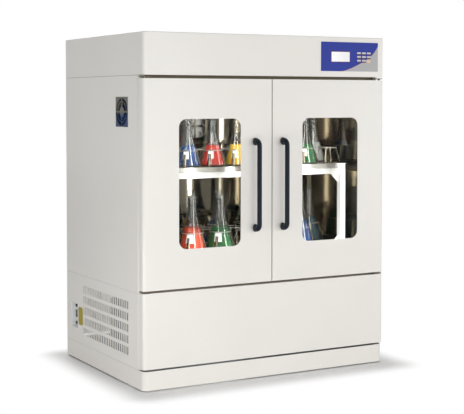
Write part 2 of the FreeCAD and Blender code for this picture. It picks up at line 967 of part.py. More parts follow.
def make_controls():
    overlay = body("overlay")
    face = sketch_on(overlay, "XZ_Plane", -front)
    rectangle(
        face,
        (overlay_left, overlay_bottom),
        (overlay_left + s.overlay_width, overlay_bottom + s.overlay_height),
    )
    pad(overlay, face, s.overlay_sheet)
    holes = sketch_on(overlay, "XZ_Plane", -front + s.overlay_sheet + s.overrun)
    half_hole = (s.key_width / 2 + s.seat_gap, s.key_height / 2 + s.seat_gap)
    for x, z in key_spots:
        rectangle(holes, (x - half_hole[0], z - half_hole[1]), (x + half_hole[0], z + half_hole[1]))
    pocket(overlay, holes, s.overlay_sheet + s.overrun * 2)
    node("control_overlay", overlay)

    left, bottom = overlay_left + s.display_x, overlay_bottom + s.display_z
    overlay_front = front - s.overlay_sheet
    node(
        "display_window",
        box(
            "display",
            (left, overlay_front - s.display_sheet, bottom),
            (left + s.display_width, overlay_front, bottom + s.display_height),
        ),
    )

    flange_front = front + s.seat_gap
    for index, (x, z) in enumerate(key_spots, start=1):
        half_x, half_z = s.key_width / 2, s.key_height / 2
        cap = box(
            f"key_{index}_cap",
            (x - half_x, overlay_front - s.key_proud, z - half_z),
            (x + half_x, flange_front, z + half_z),
        )
        flange = box(
            f"key_{index}_flange",
            (x - half_x - s.key_flange, flange_front, z - half_z - s.key_flange),
            (x + half_x + s.key_flange, flange_front + s.key_flange_sheet, z + half_z + s.key_flange),
        )
        node(f"key_{index}", fuse(f"key_{index}_moulding", cap, flange))

    first, last = key_spots[0], key_spots[-1]
    reach_x = s.key_width / 2 + s.board_margin
    reach_z = s.key_height / 2 + s.board_margin
    board_front = flange_front + s.key_flange_sheet + s.key_travel + s.seat_gap
    low = (first[0] - reach_x, board_front, first[1] - reach_z)
    high = (last[0] + reach_x, board_front + s.board_sheet, last[1] + reach_z)
    pieces = [box("board_plate", low, high)]
    inset = s.board_spacer_radius * 2
    hood_inside = front + s.panel_sheet
    for x in (low[0] + inset, high[0] - inset):
        for z in (low[2] + inset, high[2] - inset):
            start = (x, hood_inside, z)
            pieces.append(
                cylinder("board_spacer", start, s.board_spacer_radius, board_front - hood_inside, "y")
            )
    node("control_board", fuse("board", *pieces))


# Insulated chamber


def make_chamber():
    shell_gap = s.liner_sheet + s.seat_gap
    foam_side = casing - s.seat_gap
    foam = box("foam_block", (-foam_side, chamber_front, lower_top), (foam_side, rear_inside, hood_bottom))
    cavity = box(
        "foam_cavity",
        (-chamber_side - shell_gap, chamber_front - s.overrun, chamber_bottom - shell_gap),
        (chamber_side + shell_gap, chamber_rear + shell_gap, chamber_top + shell_gap),
    )
    tools = [cavity]
    for name, x, y, radius, _ in shaft_spots:
        start = (x, y, lower_top - s.overrun)
        length = chamber_bottom - lower_top + s.overrun
        tools.append(cylinder(f"foam_bore_{name}", start, radius + s.floor_seal_gap, length))
    fan_low = (front + s.side_fan_front, side_fan_bottom)
    fan_room = s.side_fan_size + s.seat_gap
    tools.append(
        box(
            "foam_fan_room",
            (-half_width - s.overrun, fan_low[0] - s.seat_gap, fan_low[1] - s.seat_gap),
            (-half_width + s.side_fan_depth + s.seat_gap, fan_low[0] + fan_room, fan_low[1] + fan_room),
        )
    )
    node("insulation", cut("foam", foam, *tools))

    outer = box(
        "liner_block",
        (-chamber_side - s.liner_sheet, chamber_front, chamber_bottom - s.liner_sheet),
        (chamber_side + s.liner_sheet, chamber_rear + s.liner_sheet, chamber_top + s.liner_sheet),
    )
    room = box(
        "liner_room",
        (-chamber_side, chamber_front - s.overrun, chamber_bottom),
        (chamber_side, chamber_rear, chamber_top),
    )
    tools = [room]
    for name, x, y, radius, _ in shaft_spots:
        start = (x, y, chamber_bottom - s.liner_sheet - s.overrun)
        tools.append(
            cylinder(
                f"liner_bore_{name}",
                start,
                radius + s.floor_seal_gap,
                s.liner_sheet + s.overrun * 2,
            )
        )
    node("chamber_liner", cut("liner", outer, *tools))

    jamb = body("jamb")
    face = sketch_on(jamb, "XZ_Plane", -chamber_front)
    rectangle(face, (-jamb_side, lower_top), (jamb_side, hood_bottom))
    rectangle(face, (-chamber_side, chamber_bottom), (chamber_side, chamber_top))
    pad(jamb, face, s.jamb_depth)
    node("front_jamb", jamb)

    duct = body("duct")
    duct_front = chamber_rear - s.duct_depth
    side = chamber_side - s.seat_gap
    face = sketch_on(duct, "XZ_Plane", -duct_front)
    rectangle(
        face,
        (-side, chamber_bottom + s.seat_gap),
        (side, chamber_top - s.seat_gap),
    )
    pad(duct, face, s.liner_sheet, reverse=True)
    intake = sketch_on(duct, "XZ_Plane", -duct_front + s.overrun)
    quarter = s.intake_radius - s.intake_bar
    for side_x in (-1, 1):
        for side_z in (-1, 1):
            corner_x = s.intake_bar / 2 * side_x
            corner_z = fan_height + s.intake_bar / 2 * side_z
            ends = [(corner_x, corner_z), (corner_x + quarter * side_x, corner_z)]
            ends.append((corner_x + quarter * side_x, corner_z + quarter * side_z, s.intake_radius / 2))
            ends.append((corner_x, corner_z + quarter * side_z))
            outline(intake, ends)
    pocket(duct, intake, s.liner_sheet + s.overrun * 2)
    span = s.duct_slot_pitch * (s.duct_slot_count - 1)
    for bottom in (
        chamber_bottom + s.duct_slot_margin,
        chamber_top - s.duct_slot_margin - s.duct_slot_height,
    ):
        slots = sketch_on(duct, "XZ_Plane", -duct_front + s.overrun)
        left = -(span + s.duct_slot_length) / 2
        rectangle(slots, (left, bottom), (left + s.duct_slot_length, bottom + s.duct_slot_height))
        slot = pocket(duct, slots, s.liner_sheet + s.overrun * 2)
        rows(duct, slot, slots, (s.duct_slot_count, s.duct_slot_pitch))
    node("rear_air_duct", duct)


def comb(name, low, high, count, gap, axis):
    """A finned block: slots cut from one face along an axis."""
    block = box(f"{name}_block", low, high)
    span = (high[axis] - low[axis]) / count
    spine = (high[1 if axis == 0 else 0] - low[1 if axis == 0 else 0]) / 3
    slots = []
    for index in range(count):
        start = low[axis] + span * index + (span - gap) / 2
        slot_low, slot_high = list(low), list(high)
        slot_low[axis], slot_high[axis] = start, start + gap
        slot_low[2], slot_high[2] = low[2] - s.overrun, high[2] + s.overrun
        open_axis = 1 if axis == 0 else 0
        slot_low[open_axis] = low[open_axis] - s.overrun
        slot_high[open_axis] = high[open_axis] - spine
        slots.append(box(f"{name}_slot", slot_low, slot_high))
    return cut(name, block, *slots)


def make_air_system():
    motor_front = chamber_rear - s.fan_motor_depth
    wheel_back = motor_front - s.seat_gap * 4
    wheel_front = wheel_back - s.fan_wheel_plate - s.fan_wheel_depth
    can = cylinder(
        "fan_motor_can", (0, motor_front, fan_height), s.fan_motor_radius, s.fan_motor_depth, "y"
    )
    shaft = cylinder(
        "fan_motor_shaft",
        (0, wheel_front, fan_height),
        s.fan_shaft_radius,
        motor_front - wheel_front,
        "y",
    )
    node("circulation_motor", fuse("fan_motor", can, shaft))

    centre = (0, wheel_front, fan_height)
    plate_start = (0, wheel_back - s.fan_wheel_plate, fan_height)
    plate = cylinder("wheel_plate", plate_start, s.fan_wheel_radius, s.fan_wheel_plate, "y")
    hub = cylinder("wheel_hub", centre, s.fan_hub_radius, wheel_back - wheel_front, "y")
    bore_radius = s.fan_shaft_radius + s.running_gap
    bore_start = (0, wheel_front - s.overrun, fan_height)
    bore = cylinder("wheel_bore", bore_start, bore_radius, wheel_back - wheel_front + s.overrun * 2, "y")
    disc = cut("wheel_disc", fuse("wheel_web", plate, hub), bore)
    doc.recompute()
    wheel = disc.Shape
    blade_length = s.fan_wheel_radius.value - s.fan_blade_root.value
    sheet_value = s.fan_wheel_plate.value
    for index in range(SIZES["fan_blades"]):
        blade = Part.makeBox(blade_length, s.fan_wheel_depth.value, sheet_value)
        blade.translate(FreeCAD.Vector(-blade_length / 2, 0, -sheet_value / 2))
        blade.rotate(FreeCAD.Vector(), FreeCAD.Vector(0, 1, 0), WHEEL_BLADE_ANGLE)
        blade.translate(FreeCAD.Vector(s.fan_blade_root.value + blade_length / 2, 0, 0))
        blade.rotate(FreeCAD.Vector(), FreeCAD.Vector(0, 1, 0), 360 * index / SIZES["fan_blades"])
        blade.translate(FreeCAD.Vector(0, wheel_front.value, fan_height.value))
        wheel = wheel.fuse(blade)
    node("circulation_fan", shaped("wheel", wheel.removeSplitter()))

    coil_low = (-s.coil_width / 2, chamber_rear - s.coil_depth, chamber_bottom + s.coil_lift)
    coil_high = (s.coil_width / 2, chamber_rear, coil_low[2] + s.coil_height)
    coil = comb("cooling_coil", coil_low, coil_high, SIZES["coil_fins"], s.coil_fin_gap, 0)
    pieces = []
    heater_y = chamber_rear - s.heater_foot * 2
    for index in range(2):
        z = chamber_bottom + s.heater_lift + s.heater_pitch * index
        pieces.append(
            cylinder("heater_rod", (-s.coil_width / 2, heater_y, z), s.heater_radius, s.coil_width, "x")
        )
    for side in (-1, 1):
        x = (s.coil_width / 2 - s.heater_foot) * side - s.heater_foot / 2
        bottom = chamber_bottom + s.heater_lift - s.heater_radius
        top = bottom + s.heater_pitch + s.heater_radius * 2
        pieces.append(
            box("heater_post", (x, heater_y, bottom), (x + s.heater_foot, chamber_rear, top))
        )
    node("duct_coils", group("coils", coil, fuse("heater", *pieces)))


def make_condensing_unit():
    shelf_bottom = s.frame_underside + s.rail_size
    shelf_top = shelf_bottom + s.shelf_sheet
    shelf_front = front + s.shelf_setback
    shelf = box(
        "unit_shelf",
        (-frame_side + s.rail_wall, shelf_front, shelf_bottom),
        (-s.shelf_rail_offset + s.rail_size, shelf_front + s.shelf_length, shelf_top),
    )
    centre = (-half_width + s.compressor_side_gap, front + s.compressor_setback)
    can = cylinder("compressor_can", (*centre, shelf_top), s.compressor_radius, s.compressor_height)
    dome_radius = s.compressor_radius - s.compressor_shoulder
    dome_start = (*centre, shelf_top + s.compressor_height)
    dome = cone("compressor_dome", dome_start, s.compressor_radius, dome_radius, s.compressor_dome)
    low = (-half_width + s.condenser_side_gap, front + s.condenser_setback, shelf_top)
    high = (low[0] + s.condenser_width, low[1] + s.condenser_length, shelf_top + s.condenser_height)
    condenser = comb("condenser", low, high, SIZES["condenser_fins"], s.condenser_fin_gap, 1)
    node("condensing_unit", fuse("refrigeration", shelf, can, dome, condenser))


# Side fan


def make_side_fan():
    centre_y = front + s.side_fan_front + s.side_fan_size / 2
    centre_z = side_fan_bottom + s.side_fan_size / 2
    half = s.side_fan_size / 2
    outer_x = -half_width
    inner_x = outer_x + s.side_fan_depth
    block = box(
        "side_fan_block",
        (outer_x, centre_y - half, centre_z - half),
        (inner_x, centre_y + half, centre_z + half),
    )
    bore_start = (outer_x - s.overrun, centre_y, centre_z)
    bore = cylinder(
        "side_fan_bore", bore_start, s.side_fan_bore, s.side_fan_depth + s.overrun * 2, "x"
    )
    frame = cut("side_fan_ring_wall", block, bore)
    start = (outer_x, centre_y, centre_z)
    pieces = [frame, cylinder("side_fan_hub_plate", start, s.side_fan_hub, s.side_fan_spider, "x")]
    ring_outer = cylinder("side_fan_guard", start, s.side_fan_ring, s.side_fan_spider, "x")
    ring_hole = cylinder(
        "side_fan_guard_hole",
        bore_start,
        s.side_fan_ring - s.side_fan_ring_width,
        s.side_fan_spider + s.overrun * 2,
        "x",
    )
    pieces.append(cut("side_fan_guard_ring", ring_outer, ring_hole))
    strut = s.side_fan_strut / 2
    reach = s.side_fan_bore + s.side_fan_ring_width
    strut_back = outer_x + s.side_fan_spider
    for name, half_y, half_z in (("strut_y", reach, strut), ("strut_z", strut, reach)):
        pieces.append(
            box(
                f"side_fan_{name}",
                (outer_x, centre_y - half_y, centre_z - half_z),
                (strut_back, centre_y + half_y, centre_z + half_z),
            )
        )
    pin_start = (strut_back, centre_y, centre_z)
    pin_length = s.side_fan_blade_depth / 2
    pieces.append(cylinder("side_fan_pin", pin_start, s.fan_shaft_radius, pin_length, "x"))
    node("side_fan_frame", fuse("side_fan_housing", *pieces))

    rotor_front = strut_back + s.seat_gap
    hub_length = s.side_fan_blade_depth
    hub = cylinder("side_fan_hub", (rotor_front, centre_y, centre_z), s.side_fan_hub, hub_length, "x")
    socket = cylinder(
        "side_fan_socket",
        (rotor_front - s.overrun, centre_y, centre_z),
        s.fan_shaft_radius + s.running_gap,
        s.overrun + pin_length,
        "x",
    )
    cup = cut("side_fan_cup", hub, socket)
    doc.recompute()
    rotor = cup.Shape
    root = s.side_fan_hub.value - s.side_fan_blade.value
    span = s.side_fan_blade_tip.value - root
    slant = math.cos(math.radians(BLADE_PITCH_ANGLE))
    chord = s.side_fan_blade_depth.value / slant * BLADE_CHORD_SHARE
    thick = s.side_fan_blade.value
    middle_x = rotor_front.value + hub_length.value / 2
    for index in range(SIZES["side_fan_blades"]):
        blade = Part.makeBox(chord, span, thick)
        blade.translate(FreeCAD.Vector(-chord / 2, root, -thick / 2))
        blade.rotate(FreeCAD.Vector(), FreeCAD.Vector(0, 1, 0), BLADE_PITCH_ANGLE)
        blade.rotate(FreeCAD.Vector(), FreeCAD.Vector(1, 0, 0), 360 * index / SIZES["side_fan_blades"])
        blade.translate(FreeCAD.Vector(middle_x, centre_y.value, centre_z.value))
        rotor = rotor.fuse(blade)
    node("side_fan_rotor", shaped("side_rotor", rotor.removeSplitter()))


# Service recess in the left side


def make_service():
    y_low, z_low = rear - s.recess_rear_gap - s.recess_length, s.recess_bottom
    y_high, z_high = y_low + s.recess_length, z_low + s.recess_height
    back_x = -half_width + s.recess_depth
    wall = s.panel_sheet
    shell = box(
        "recess_block",
        (-casing, y_low - wall, z_low - wall),
        (back_x + wall, y_high + wall, z_high + wall),
    )
    rim = s.recess_flange + wall
    flange = box(
        "recess_rim",
        (-casing, y_low - rim, z_low - rim),
        (-casing + wall, y_high + rim, z_high + rim),
    )
    room = box("recess_room", (-casing - s.overrun, y_low, z_low), (back_x, y_high, z_high))
    node("service_recess", cut("recess", fuse("recess_pressing", shell, flange), room))

    cover = body("service_cover")
    face = sketch_on(cover, "YZ_Plane", -half_width)
    rectangle(face, *cover_ends(0), s.cover_corner)
    pad(cover, face, s.panel_sheet + s.seat_gap)
    lip = sketch_on(cover, "YZ_Plane", -casing + s.seat_gap)
    rectangle(lip, *cover_ends(s.cover_flange), s.cover_corner + s.cover_flange)
    pad(cover, lip, s.cover_sheet)
    node("service_cover", cover)

    y = y_high - s.fitting_setback
    pieces = []
    for name, height in (("fuse_holder", s.fuse_height), ("cable_gland", s.gland_height)):
        start = (back_x - s.fitting_length, y, z_low + height)
        pieces.append(cylinder(name, start, s.fitting_radius, s.fitting_length, "x"))
    switch_z = z_low + s.switch_height
    half_y, half_z = s.switch_bezel_width / 2, s.switch_bezel_length / 2
    bezel_front = back_x - s.switch_bezel_depth
    bezel = box(
        "bezel_block",
        (bezel_front, y - half_y, switch_z - half_z),
        (back_x, y + half_y, switch_z + half_z),
    )
    wall_in = s.switch_bezel_wall
    well_back = back_x + s.overrun
    well = box(
        "bezel_well",
        (bezel_front - s.overrun, y - half_y + wall_in, switch_z - half_z + wall_in),
        (well_back, y + half_y - wall_in, switch_z + half_z - wall_in),
    )
    pin_x = back_x - s.switch_bezel_depth / 2
    pin = cylinder(
        "rocker_pin",
        (pin_x, y - half_y + wall_in, switch_z),
        s.rocker_pin_radius,
        s.switch_bezel_width - wall_in * 2,
        "y",
    )
    pieces.append(fuse("switch_bezel", cut("bezel", bezel, well), pin))
    node("service_fittings", group("fittings", *pieces))

    rocker = body("rocker")
    side_view = sketch_on(rocker, "XZ_Plane", -y)
    rocker_half = half_z - wall_in - s.seat_gap * 4
    tip_x = bezel_front - s.rocker_crown
    middle_x = bezel_front + s.seat_gap
    back = pin_x + s.rocker_pin_radius * 2
    foot = s.rocker_pin_radius * 3
    outline(
        side_view,
        [
            (tip_x, switch_z - rocker_half),
            (bezel_front + s.rocker_crown, switch_z - rocker_half),
            (back, switch_z - foot),
            (back, switch_z + foot),
            (bezel_front + s.rocker_crown, switch_z + rocker_half),
            (tip_x, switch_z + rocker_half),
            (middle_x - s.rocker_crown / 2, switch_z),
        ],
    )
    pad(rocker, side_view, s.switch_bezel_width - wall_in * 2 - s.seat_gap * 2, midplane=True)
    bore = sketch_on(rocker, "XZ_Plane", -y + s.switch_bezel_width)
    circle(
        bore,
        pin_x,
        switch_z,
        s.rocker_pin_radius + s.running_gap,
    )
    pocket(rocker, bore, s.switch_bezel_width * 2)
    node("power_switch", rocker)


# Doors


def make_door(side, label):
    """One door, its liner, glass, seal and handle; side is -1 for the left one."""
    meeting = s.door_meeting_x
    split = s.door_split / 2
    outer, inner = half_width * side, meeting + split * side

    shell = body(f"{label}_shell")
    plan = sketch_on(shell, "XY_Plane", door_bottom)
    corners = [
        (outer, front, s.front_edge_radius),
        (inner, front),
        (inner, door_back),
        (outer, door_back),
    ]
    outline(plan, corners)
    pad(shell, plan, door_height)
    inside = sketch_on(shell, "XY_Plane", door_bottom + s.panel_sheet)
    inner_radius = s.front_edge_radius - s.panel_sheet
    outline(
        inside,
        [
            (casing * side, front + s.panel_sheet, inner_radius),
            (meeting + (split + s.panel_sheet) * side, front + s.panel_sheet),
            (meeting + (split + s.panel_sheet) * side, door_back + s.overrun),
            (casing * side, door_back + s.overrun),
        ],
    )
    pocket(shell, inside, door_height - s.panel_sheet * 2, reverse=True)
    window_sides = (
        meeting + s.window_inner_gap * side,
        meeting + (half_width - s.window_outer_gap) * side,
    )
    window_low = (min(window_sides, key=number), door_bottom + s.window_foot_gap)
    window_high = (max(window_sides, key=number), door_top - s.window_head_gap)
    glass_hole = sketch_on(shell, "XZ_Plane", -front + s.overrun)
    rectangle(glass_hole, window_low, window_high, s.window_corner)
    pocket(shell, glass_hole, s.panel_sheet + s.overrun * 2)
    boss_height = s.hinge_pin_depth - s.panel_sheet + s.seat_gap * 2
    for start, up in ((door_bottom + s.panel_sheet, True), (door_top - s.panel_sheet, False)):
        boss = sketch_on(shell, "XY_Plane", start)
        circle(boss, hinge_x * side, hinge_y, s.hinge_boss_radius)
        pad(shell, boss, boss_height, reverse=not up)
    for start, up in ((door_bottom - s.overrun, True), (door_top + s.overrun, False)):
        bore = sketch_on(shell, "XY_Plane", start)
        circle(bore, hinge_x * side, hinge_y, s.hinge_pin_radius + s.running_gap)
        depth = s.overrun * 2 + s.panel_sheet + boss_height
        pocket(shell, bore, depth, reverse=up)
    node(f"{label}_shell", shell)

    liner = body(f"{label}_liner")
    face = sketch_on(liner, "XZ_Plane", -door_back)
    gap = s.panel_sheet + s.seat_gap
    ends = sorted((meeting + (split + gap) * side, (half_width - gap) * side), key=number)
    rectangle(face, (ends[0], door_bottom + gap), (ends[1], door_top - gap))
    pad(liner, face, s.door_liner_sheet)
    pane_margin = s.pane_overlap
    collar_margin = pane_margin + s.seat_gap + s.collar_wall
    collar = sketch_on(liner, "XZ_Plane", -door_back)
    rectangle(
        collar,
        (window_low[0] - collar_margin, window_low[1] - collar_margin),
        (window_high[0] + collar_margin, window_high[1] + collar_margin),
        s.window_corner + collar_margin,
    )
    pad(liner, collar, s.door_thickness - s.panel_sheet)
    room_margin = pane_margin + s.seat_gap
    room = sketch_on(liner, "XZ_Plane", -door_back - s.overrun)
    rectangle(
        room,
        (window_low[0] - room_margin, window_low[1] - room_margin),
        (window_high[0] + room_margin, window_high[1] + room_margin),
        s.window_corner + room_margin,
    )
    pocket(liner, room, s.door_thickness + s.overrun * 2, reverse=True)
    node(f"{label}_liner", liner)

    panes = []
    for index, pane_front in enumerate((front + s.panel_sheet, door_back - s.pane_sheet)):
        pane = body(f"{label}_pane_{index}")
        view = sketch_on(pane, "XZ_Plane", -pane_front)
        rectangle(
            view,
            (window_low[0] - pane_margin, window_low[1] - pane_margin),
            (window_high[0] + pane_margin, window_high[1] + pane_margin),
            s.window_corner + pane_margin,
        )
        pad(pane, view, s.pane_sheet, reverse=True)
        panes.append(pane)
    node(f"{label}_window", group(f"{label}_panes", *panes))

    seal = body(f"{label}_seal")
    loop = sketch_on(seal, "XZ_Plane", -door_back)
    seal_out = jamb_side - s.seal_inset
    lower = chamber_bottom - s.seal_width - s.seat_gap
    upper = chamber_top + s.seal_width + s.seat_gap
    xs = sorted((meeting + s.seal_meeting_gap * side, seal_out * side), key=number)
    rectangle(loop, (xs[0], lower), (xs[1], upper))
    xs_inner = (xs[0] + s.seal_width, xs[1] - s.seal_width)
    rectangle(loop, (xs_inner[0], lower + s.seal_width), (xs_inner[1], upper - s.seal_width))
    pad(seal, loop, s.door_gap - s.seat_gap, reverse=True)
    node(f"{label}_seal", seal)

    handle = body(f"{label}_handle")
    handle_x = meeting + (s.right_handle_offset if side > 0 else -s.left_handle_offset)
    side_view = sketch_on(handle, "YZ_Plane", handle_x)
    tip = front - s.handle_reach
    bottom = (door_bottom + door_top) / 2 - s.handle_drop - s.handle_length / 2
    top = bottom + s.handle_length
    outline(
        side_view,
        [
            (front, bottom),
            (tip, bottom, s.handle_outer_radius),
            (tip, top, s.handle_outer_radius),
            (front, top),
            (front, top - s.handle_arm),
            (tip + s.handle_bar, top - s.handle_arm, s.handle_inner_radius),
            (tip + s.handle_bar, bottom + s.handle_arm, s.handle_inner_radius),
            (front, bottom + s.handle_arm),
        ],
    )
    grip = pad(handle, side_view, s.handle_width, midplane=True)
    doc.recompute()
    half = s.handle_width.value / 2
    rim = [
        f"Edge{index}"
        for index, edge in enumerate(grip.Shape.Edges, start=1)
        if all(
            abs(abs(vertex.X - handle_x.value) - half) < s.seat_gap.value
            for vertex in edge.Vertexes
        )
        and any(vertex.Y < front.value - s.seat_gap.value for vertex in edge.Vertexes)
        and abs(edge.Vertexes[0].X - edge.Vertexes[-1].X) < s.seat_gap.value
    ]
    bevel = handle.newObject("PartDesign::Chamfer", f"{label}_handle_bevel")
    bevel.Base = (grip, rim)
    bind(bevel, {"Size": s.handle_chamfer})
    node(f"{label}_handle", handle)


def make_hinges():
    """Hinge plates in the seams above and below the doors, with their pins."""
    brackets = []
    for side in (-1, 1):
        xs = (
            (half_width - s.hinge_plate_inset) * side,
            (half_width - s.hinge_plate_inset - s.hinge_plate_length) * side,
        )
        left, right = sorted(xs, key=number)
        centre = (hinge_x * side, hinge_y)
        y_low = front + s.hinge_plate_setback
        lower_plate = door_bottom - s.middle_seam / 2 - s.hinge_plate / 2
        upper_plate = door_top + s.hood_seam / 2 - s.hinge_plate / 2
        for name, plate, pin_low, pin_high in (
            ("lower", lower_plate, lower_plate, door_bottom + s.hinge_pin_depth),
            ("upper", upper_plate, door_top - s.hinge_pin_depth, upper_plate + s.hinge_plate),
        ):
            pieces = [
                box(f"hinge_{name}", (left, y_low, plate), (right, jamb_front, plate + s.hinge_plate)),
                cylinder(f"hinge_{name}_pin", (*centre, pin_low), s.hinge_pin_radius, pin_high - pin_low),
            ]
            if name == "lower":
                washer = lower_plate + s.hinge_plate
                height = door_bottom - s.seat_gap - washer
                pieces.append(
                    cylinder("hinge_washer", (*centre, washer), s.hinge_washer_radius, height)
                )
            brackets.append(fuse(f"hinge_{name}_bracket", *pieces))
    node("door_hinges", group("hinges", *brackets))


# Orbital drive


def make_drive():
    plate = box(
        "drive_sheet",
        (-s.drive_plate_width / 2, crank_y - s.drive_plate_front_edge, drive_plate_bottom),
        (s.drive_plate_width / 2, idler_y + s.drive_plate_rear_edge, drive_plate_top),
    )
    pieces, bores = [plate], []
    housing_height = lower_top - drive_plate_top - s.seat_gap
    for name, x, y, shaft, housing in shaft_spots:
        pieces.append(cylinder(f"{name}_housing", (x, y, drive_plate_top), housing, housing_height))
        start = (x, y, drive_plate_bottom - s.overrun)
        length = s.drive_plate_sheet + housing_height + s.overrun * 2
        bores.append(cylinder(f"{name}_bearing", start, shaft + s.running_gap, length))
    node("drive_plate", cut("bearing_plate", fuse("bearing_casting", *pieces), *bores))

    shaft_bottom = pulley_bottom - s.pulley_hub
    centre = (0, crank_y)
    throw = (s.orbit_radius, crank_y)
    weight = cylinder("counterweight", (*centre, disc_bottom), s.counterweight_radius, s.crank_disc_height)
    weight.Angle = COUNTERWEIGHT_ANGLE
    weight.Placement = FreeCAD.Placement(
        FreeCAD.Vector(),
        FreeCAD.Rotation(FreeCAD.Vector(0, 0, 1), 180 - COUNTERWEIGHT_ANGLE / 2),
    )
    place(weight, (*centre, disc_bottom))
    node(
        "main_crank",
        fuse(
            "main_crankshaft",
            cylinder("main_shaft", (*centre, shaft_bottom), s.main_shaft_radius, disc_bottom - shaft_bottom),
            cylinder("main_pulley", (*centre, pulley_bottom), s.pulley_radius, s.pulley_height),
            cylinder("main_disc", (*centre, disc_bottom), s.crank_disc_radius, s.crank_disc_height),
            weight,
            cylinder("main_pin", (*throw, disc_top), s.crank_pin_radius, carrier_top - s.seam - disc_top),
        ),
    )
    for side, label in ((-1, "idler_crank_left"), (1, "idler_crank_right")):
        x = s.idler_offset * side
        shaft_start = (x, idler_y, drive_plate_bottom - s.pulley_hub)
        shaft_length = disc_bottom - shaft_start[2]
        pin_start = (x + s.orbit_radius, idler_y, disc_top)
        pin_length = carrier_top - s.seam - disc_top
        disc_start = (x, idler_y, disc_bottom)
        node(
            label,
            fuse(
                f"{label}_shaft",
                cylinder("idler_shaft", shaft_start, s.idler_shaft_radius, shaft_length),
                cylinder("idler_disc", disc_start, s.idler_disc_radius, s.crank_disc_height),
                cylinder("idler_pin", pin_start, s.idler_pin_radius, pin_length),
            ),
        )

    motor_top = pulley_bottom - s.pulley_hub
    motor_x = s.motor_offset
    half_bracket = s.motor_bracket_width / 2
    bracket_top = motor_top
    bracket_bottom = motor_top - s.motor_bracket_sheet
    can = cylinder(
        "motor_can", (motor_x, crank_y, bracket_bottom - s.motor_height), s.motor_radius, s.motor_height
    )
    shelf = box(
        "motor_shelf",
        (motor_x - half_bracket, crank_y - half_bracket, bracket_bottom),
        (motor_x + half_bracket, crank_y + half_bracket, bracket_top),
    )
    hanger = box(
        "motor_hanger",
        (motor_x + half_bracket - s.motor_bracket_sheet, crank_y - half_bracket, bracket_bottom),
        (motor_x + half_bracket, crank_y + half_bracket, drive_plate_bottom),
    )
    shaft_top = pulley_top + s.pulley_hub / 2
    shaft = cylinder(
        "motor_shaft", (motor_x, crank_y, bracket_top), s.motor_shaft_radius, shaft_top - bracket_top
    )
    node("drive_motor", fuse("motor", can, shelf, hanger, shaft))

    pulley = cylinder(
        "small_pulley", (motor_x, crank_y, pulley_bottom), s.motor_pulley_radius, s.pulley_height
    )
    pulley_bore = cylinder(
        "small_pulley_bore",
        (motor_x, crank_y, pulley_bottom - s.overrun),
        s.motor_shaft_radius + s.running_gap,
        s.pulley_height + s.overrun * 2,
    )
    node("motor_pulley", cut("turned_pulley", pulley, pulley_bore))

    belt_bottom = pulley_bottom + (s.pulley_height - s.belt_width) / 2
    node("drive_belt", shaped("belt", belt_loop(belt_bottom.value)))


def belt_face(big, small, distance, centre_y, height):
    """Flat face inside a line that runs round two pulleys."""
    lean = math.acos((big - small) / distance)
    ends = []
    for radius, x in ((big, 0), (small, distance)):
        for sign in (1, -1):
            ends.append(
                FreeCAD.Vector(
                    x + radius * math.cos(lean), centre_y + sign * radius * math.sin(lean), height
                )
            )
    big_upper, big_lower, small_upper, small_lower = ends
    big_far = FreeCAD.Vector(-big, centre_y, height)
    small_far = FreeCAD.Vector(distance + small, centre_y, height)
    edges = [
        Part.Arc(big_upper, big_far, big_lower).toShape(),
        Part.makeLine(big_lower, small_lower),
        Part.Arc(small_lower, small_far, small_upper).toShape(),
        Part.makeLine(small_upper, big_upper),
    ]
    return Part.Face(Part.Wire(edges))


def belt_loop(bottom):
    """Flat belt round both pulleys, a seat gap clear of them."""
    inner = s.seat_gap.value
    outer = inner + s.belt_sheet.value
    faces = [
        belt_face(
            s.pulley_radius.value + grow,
            s.motor_pulley_radius.value + grow,
            s.motor_offset.value,
            crank_y.value,
            bottom,
        )
        for grow in (outer, inner)
    ]
    height = FreeCAD.Vector(0, 0, s.belt_width.value)
    return faces[0].extrude(height).cut(faces[1].extrude(height))


# Shaking platform


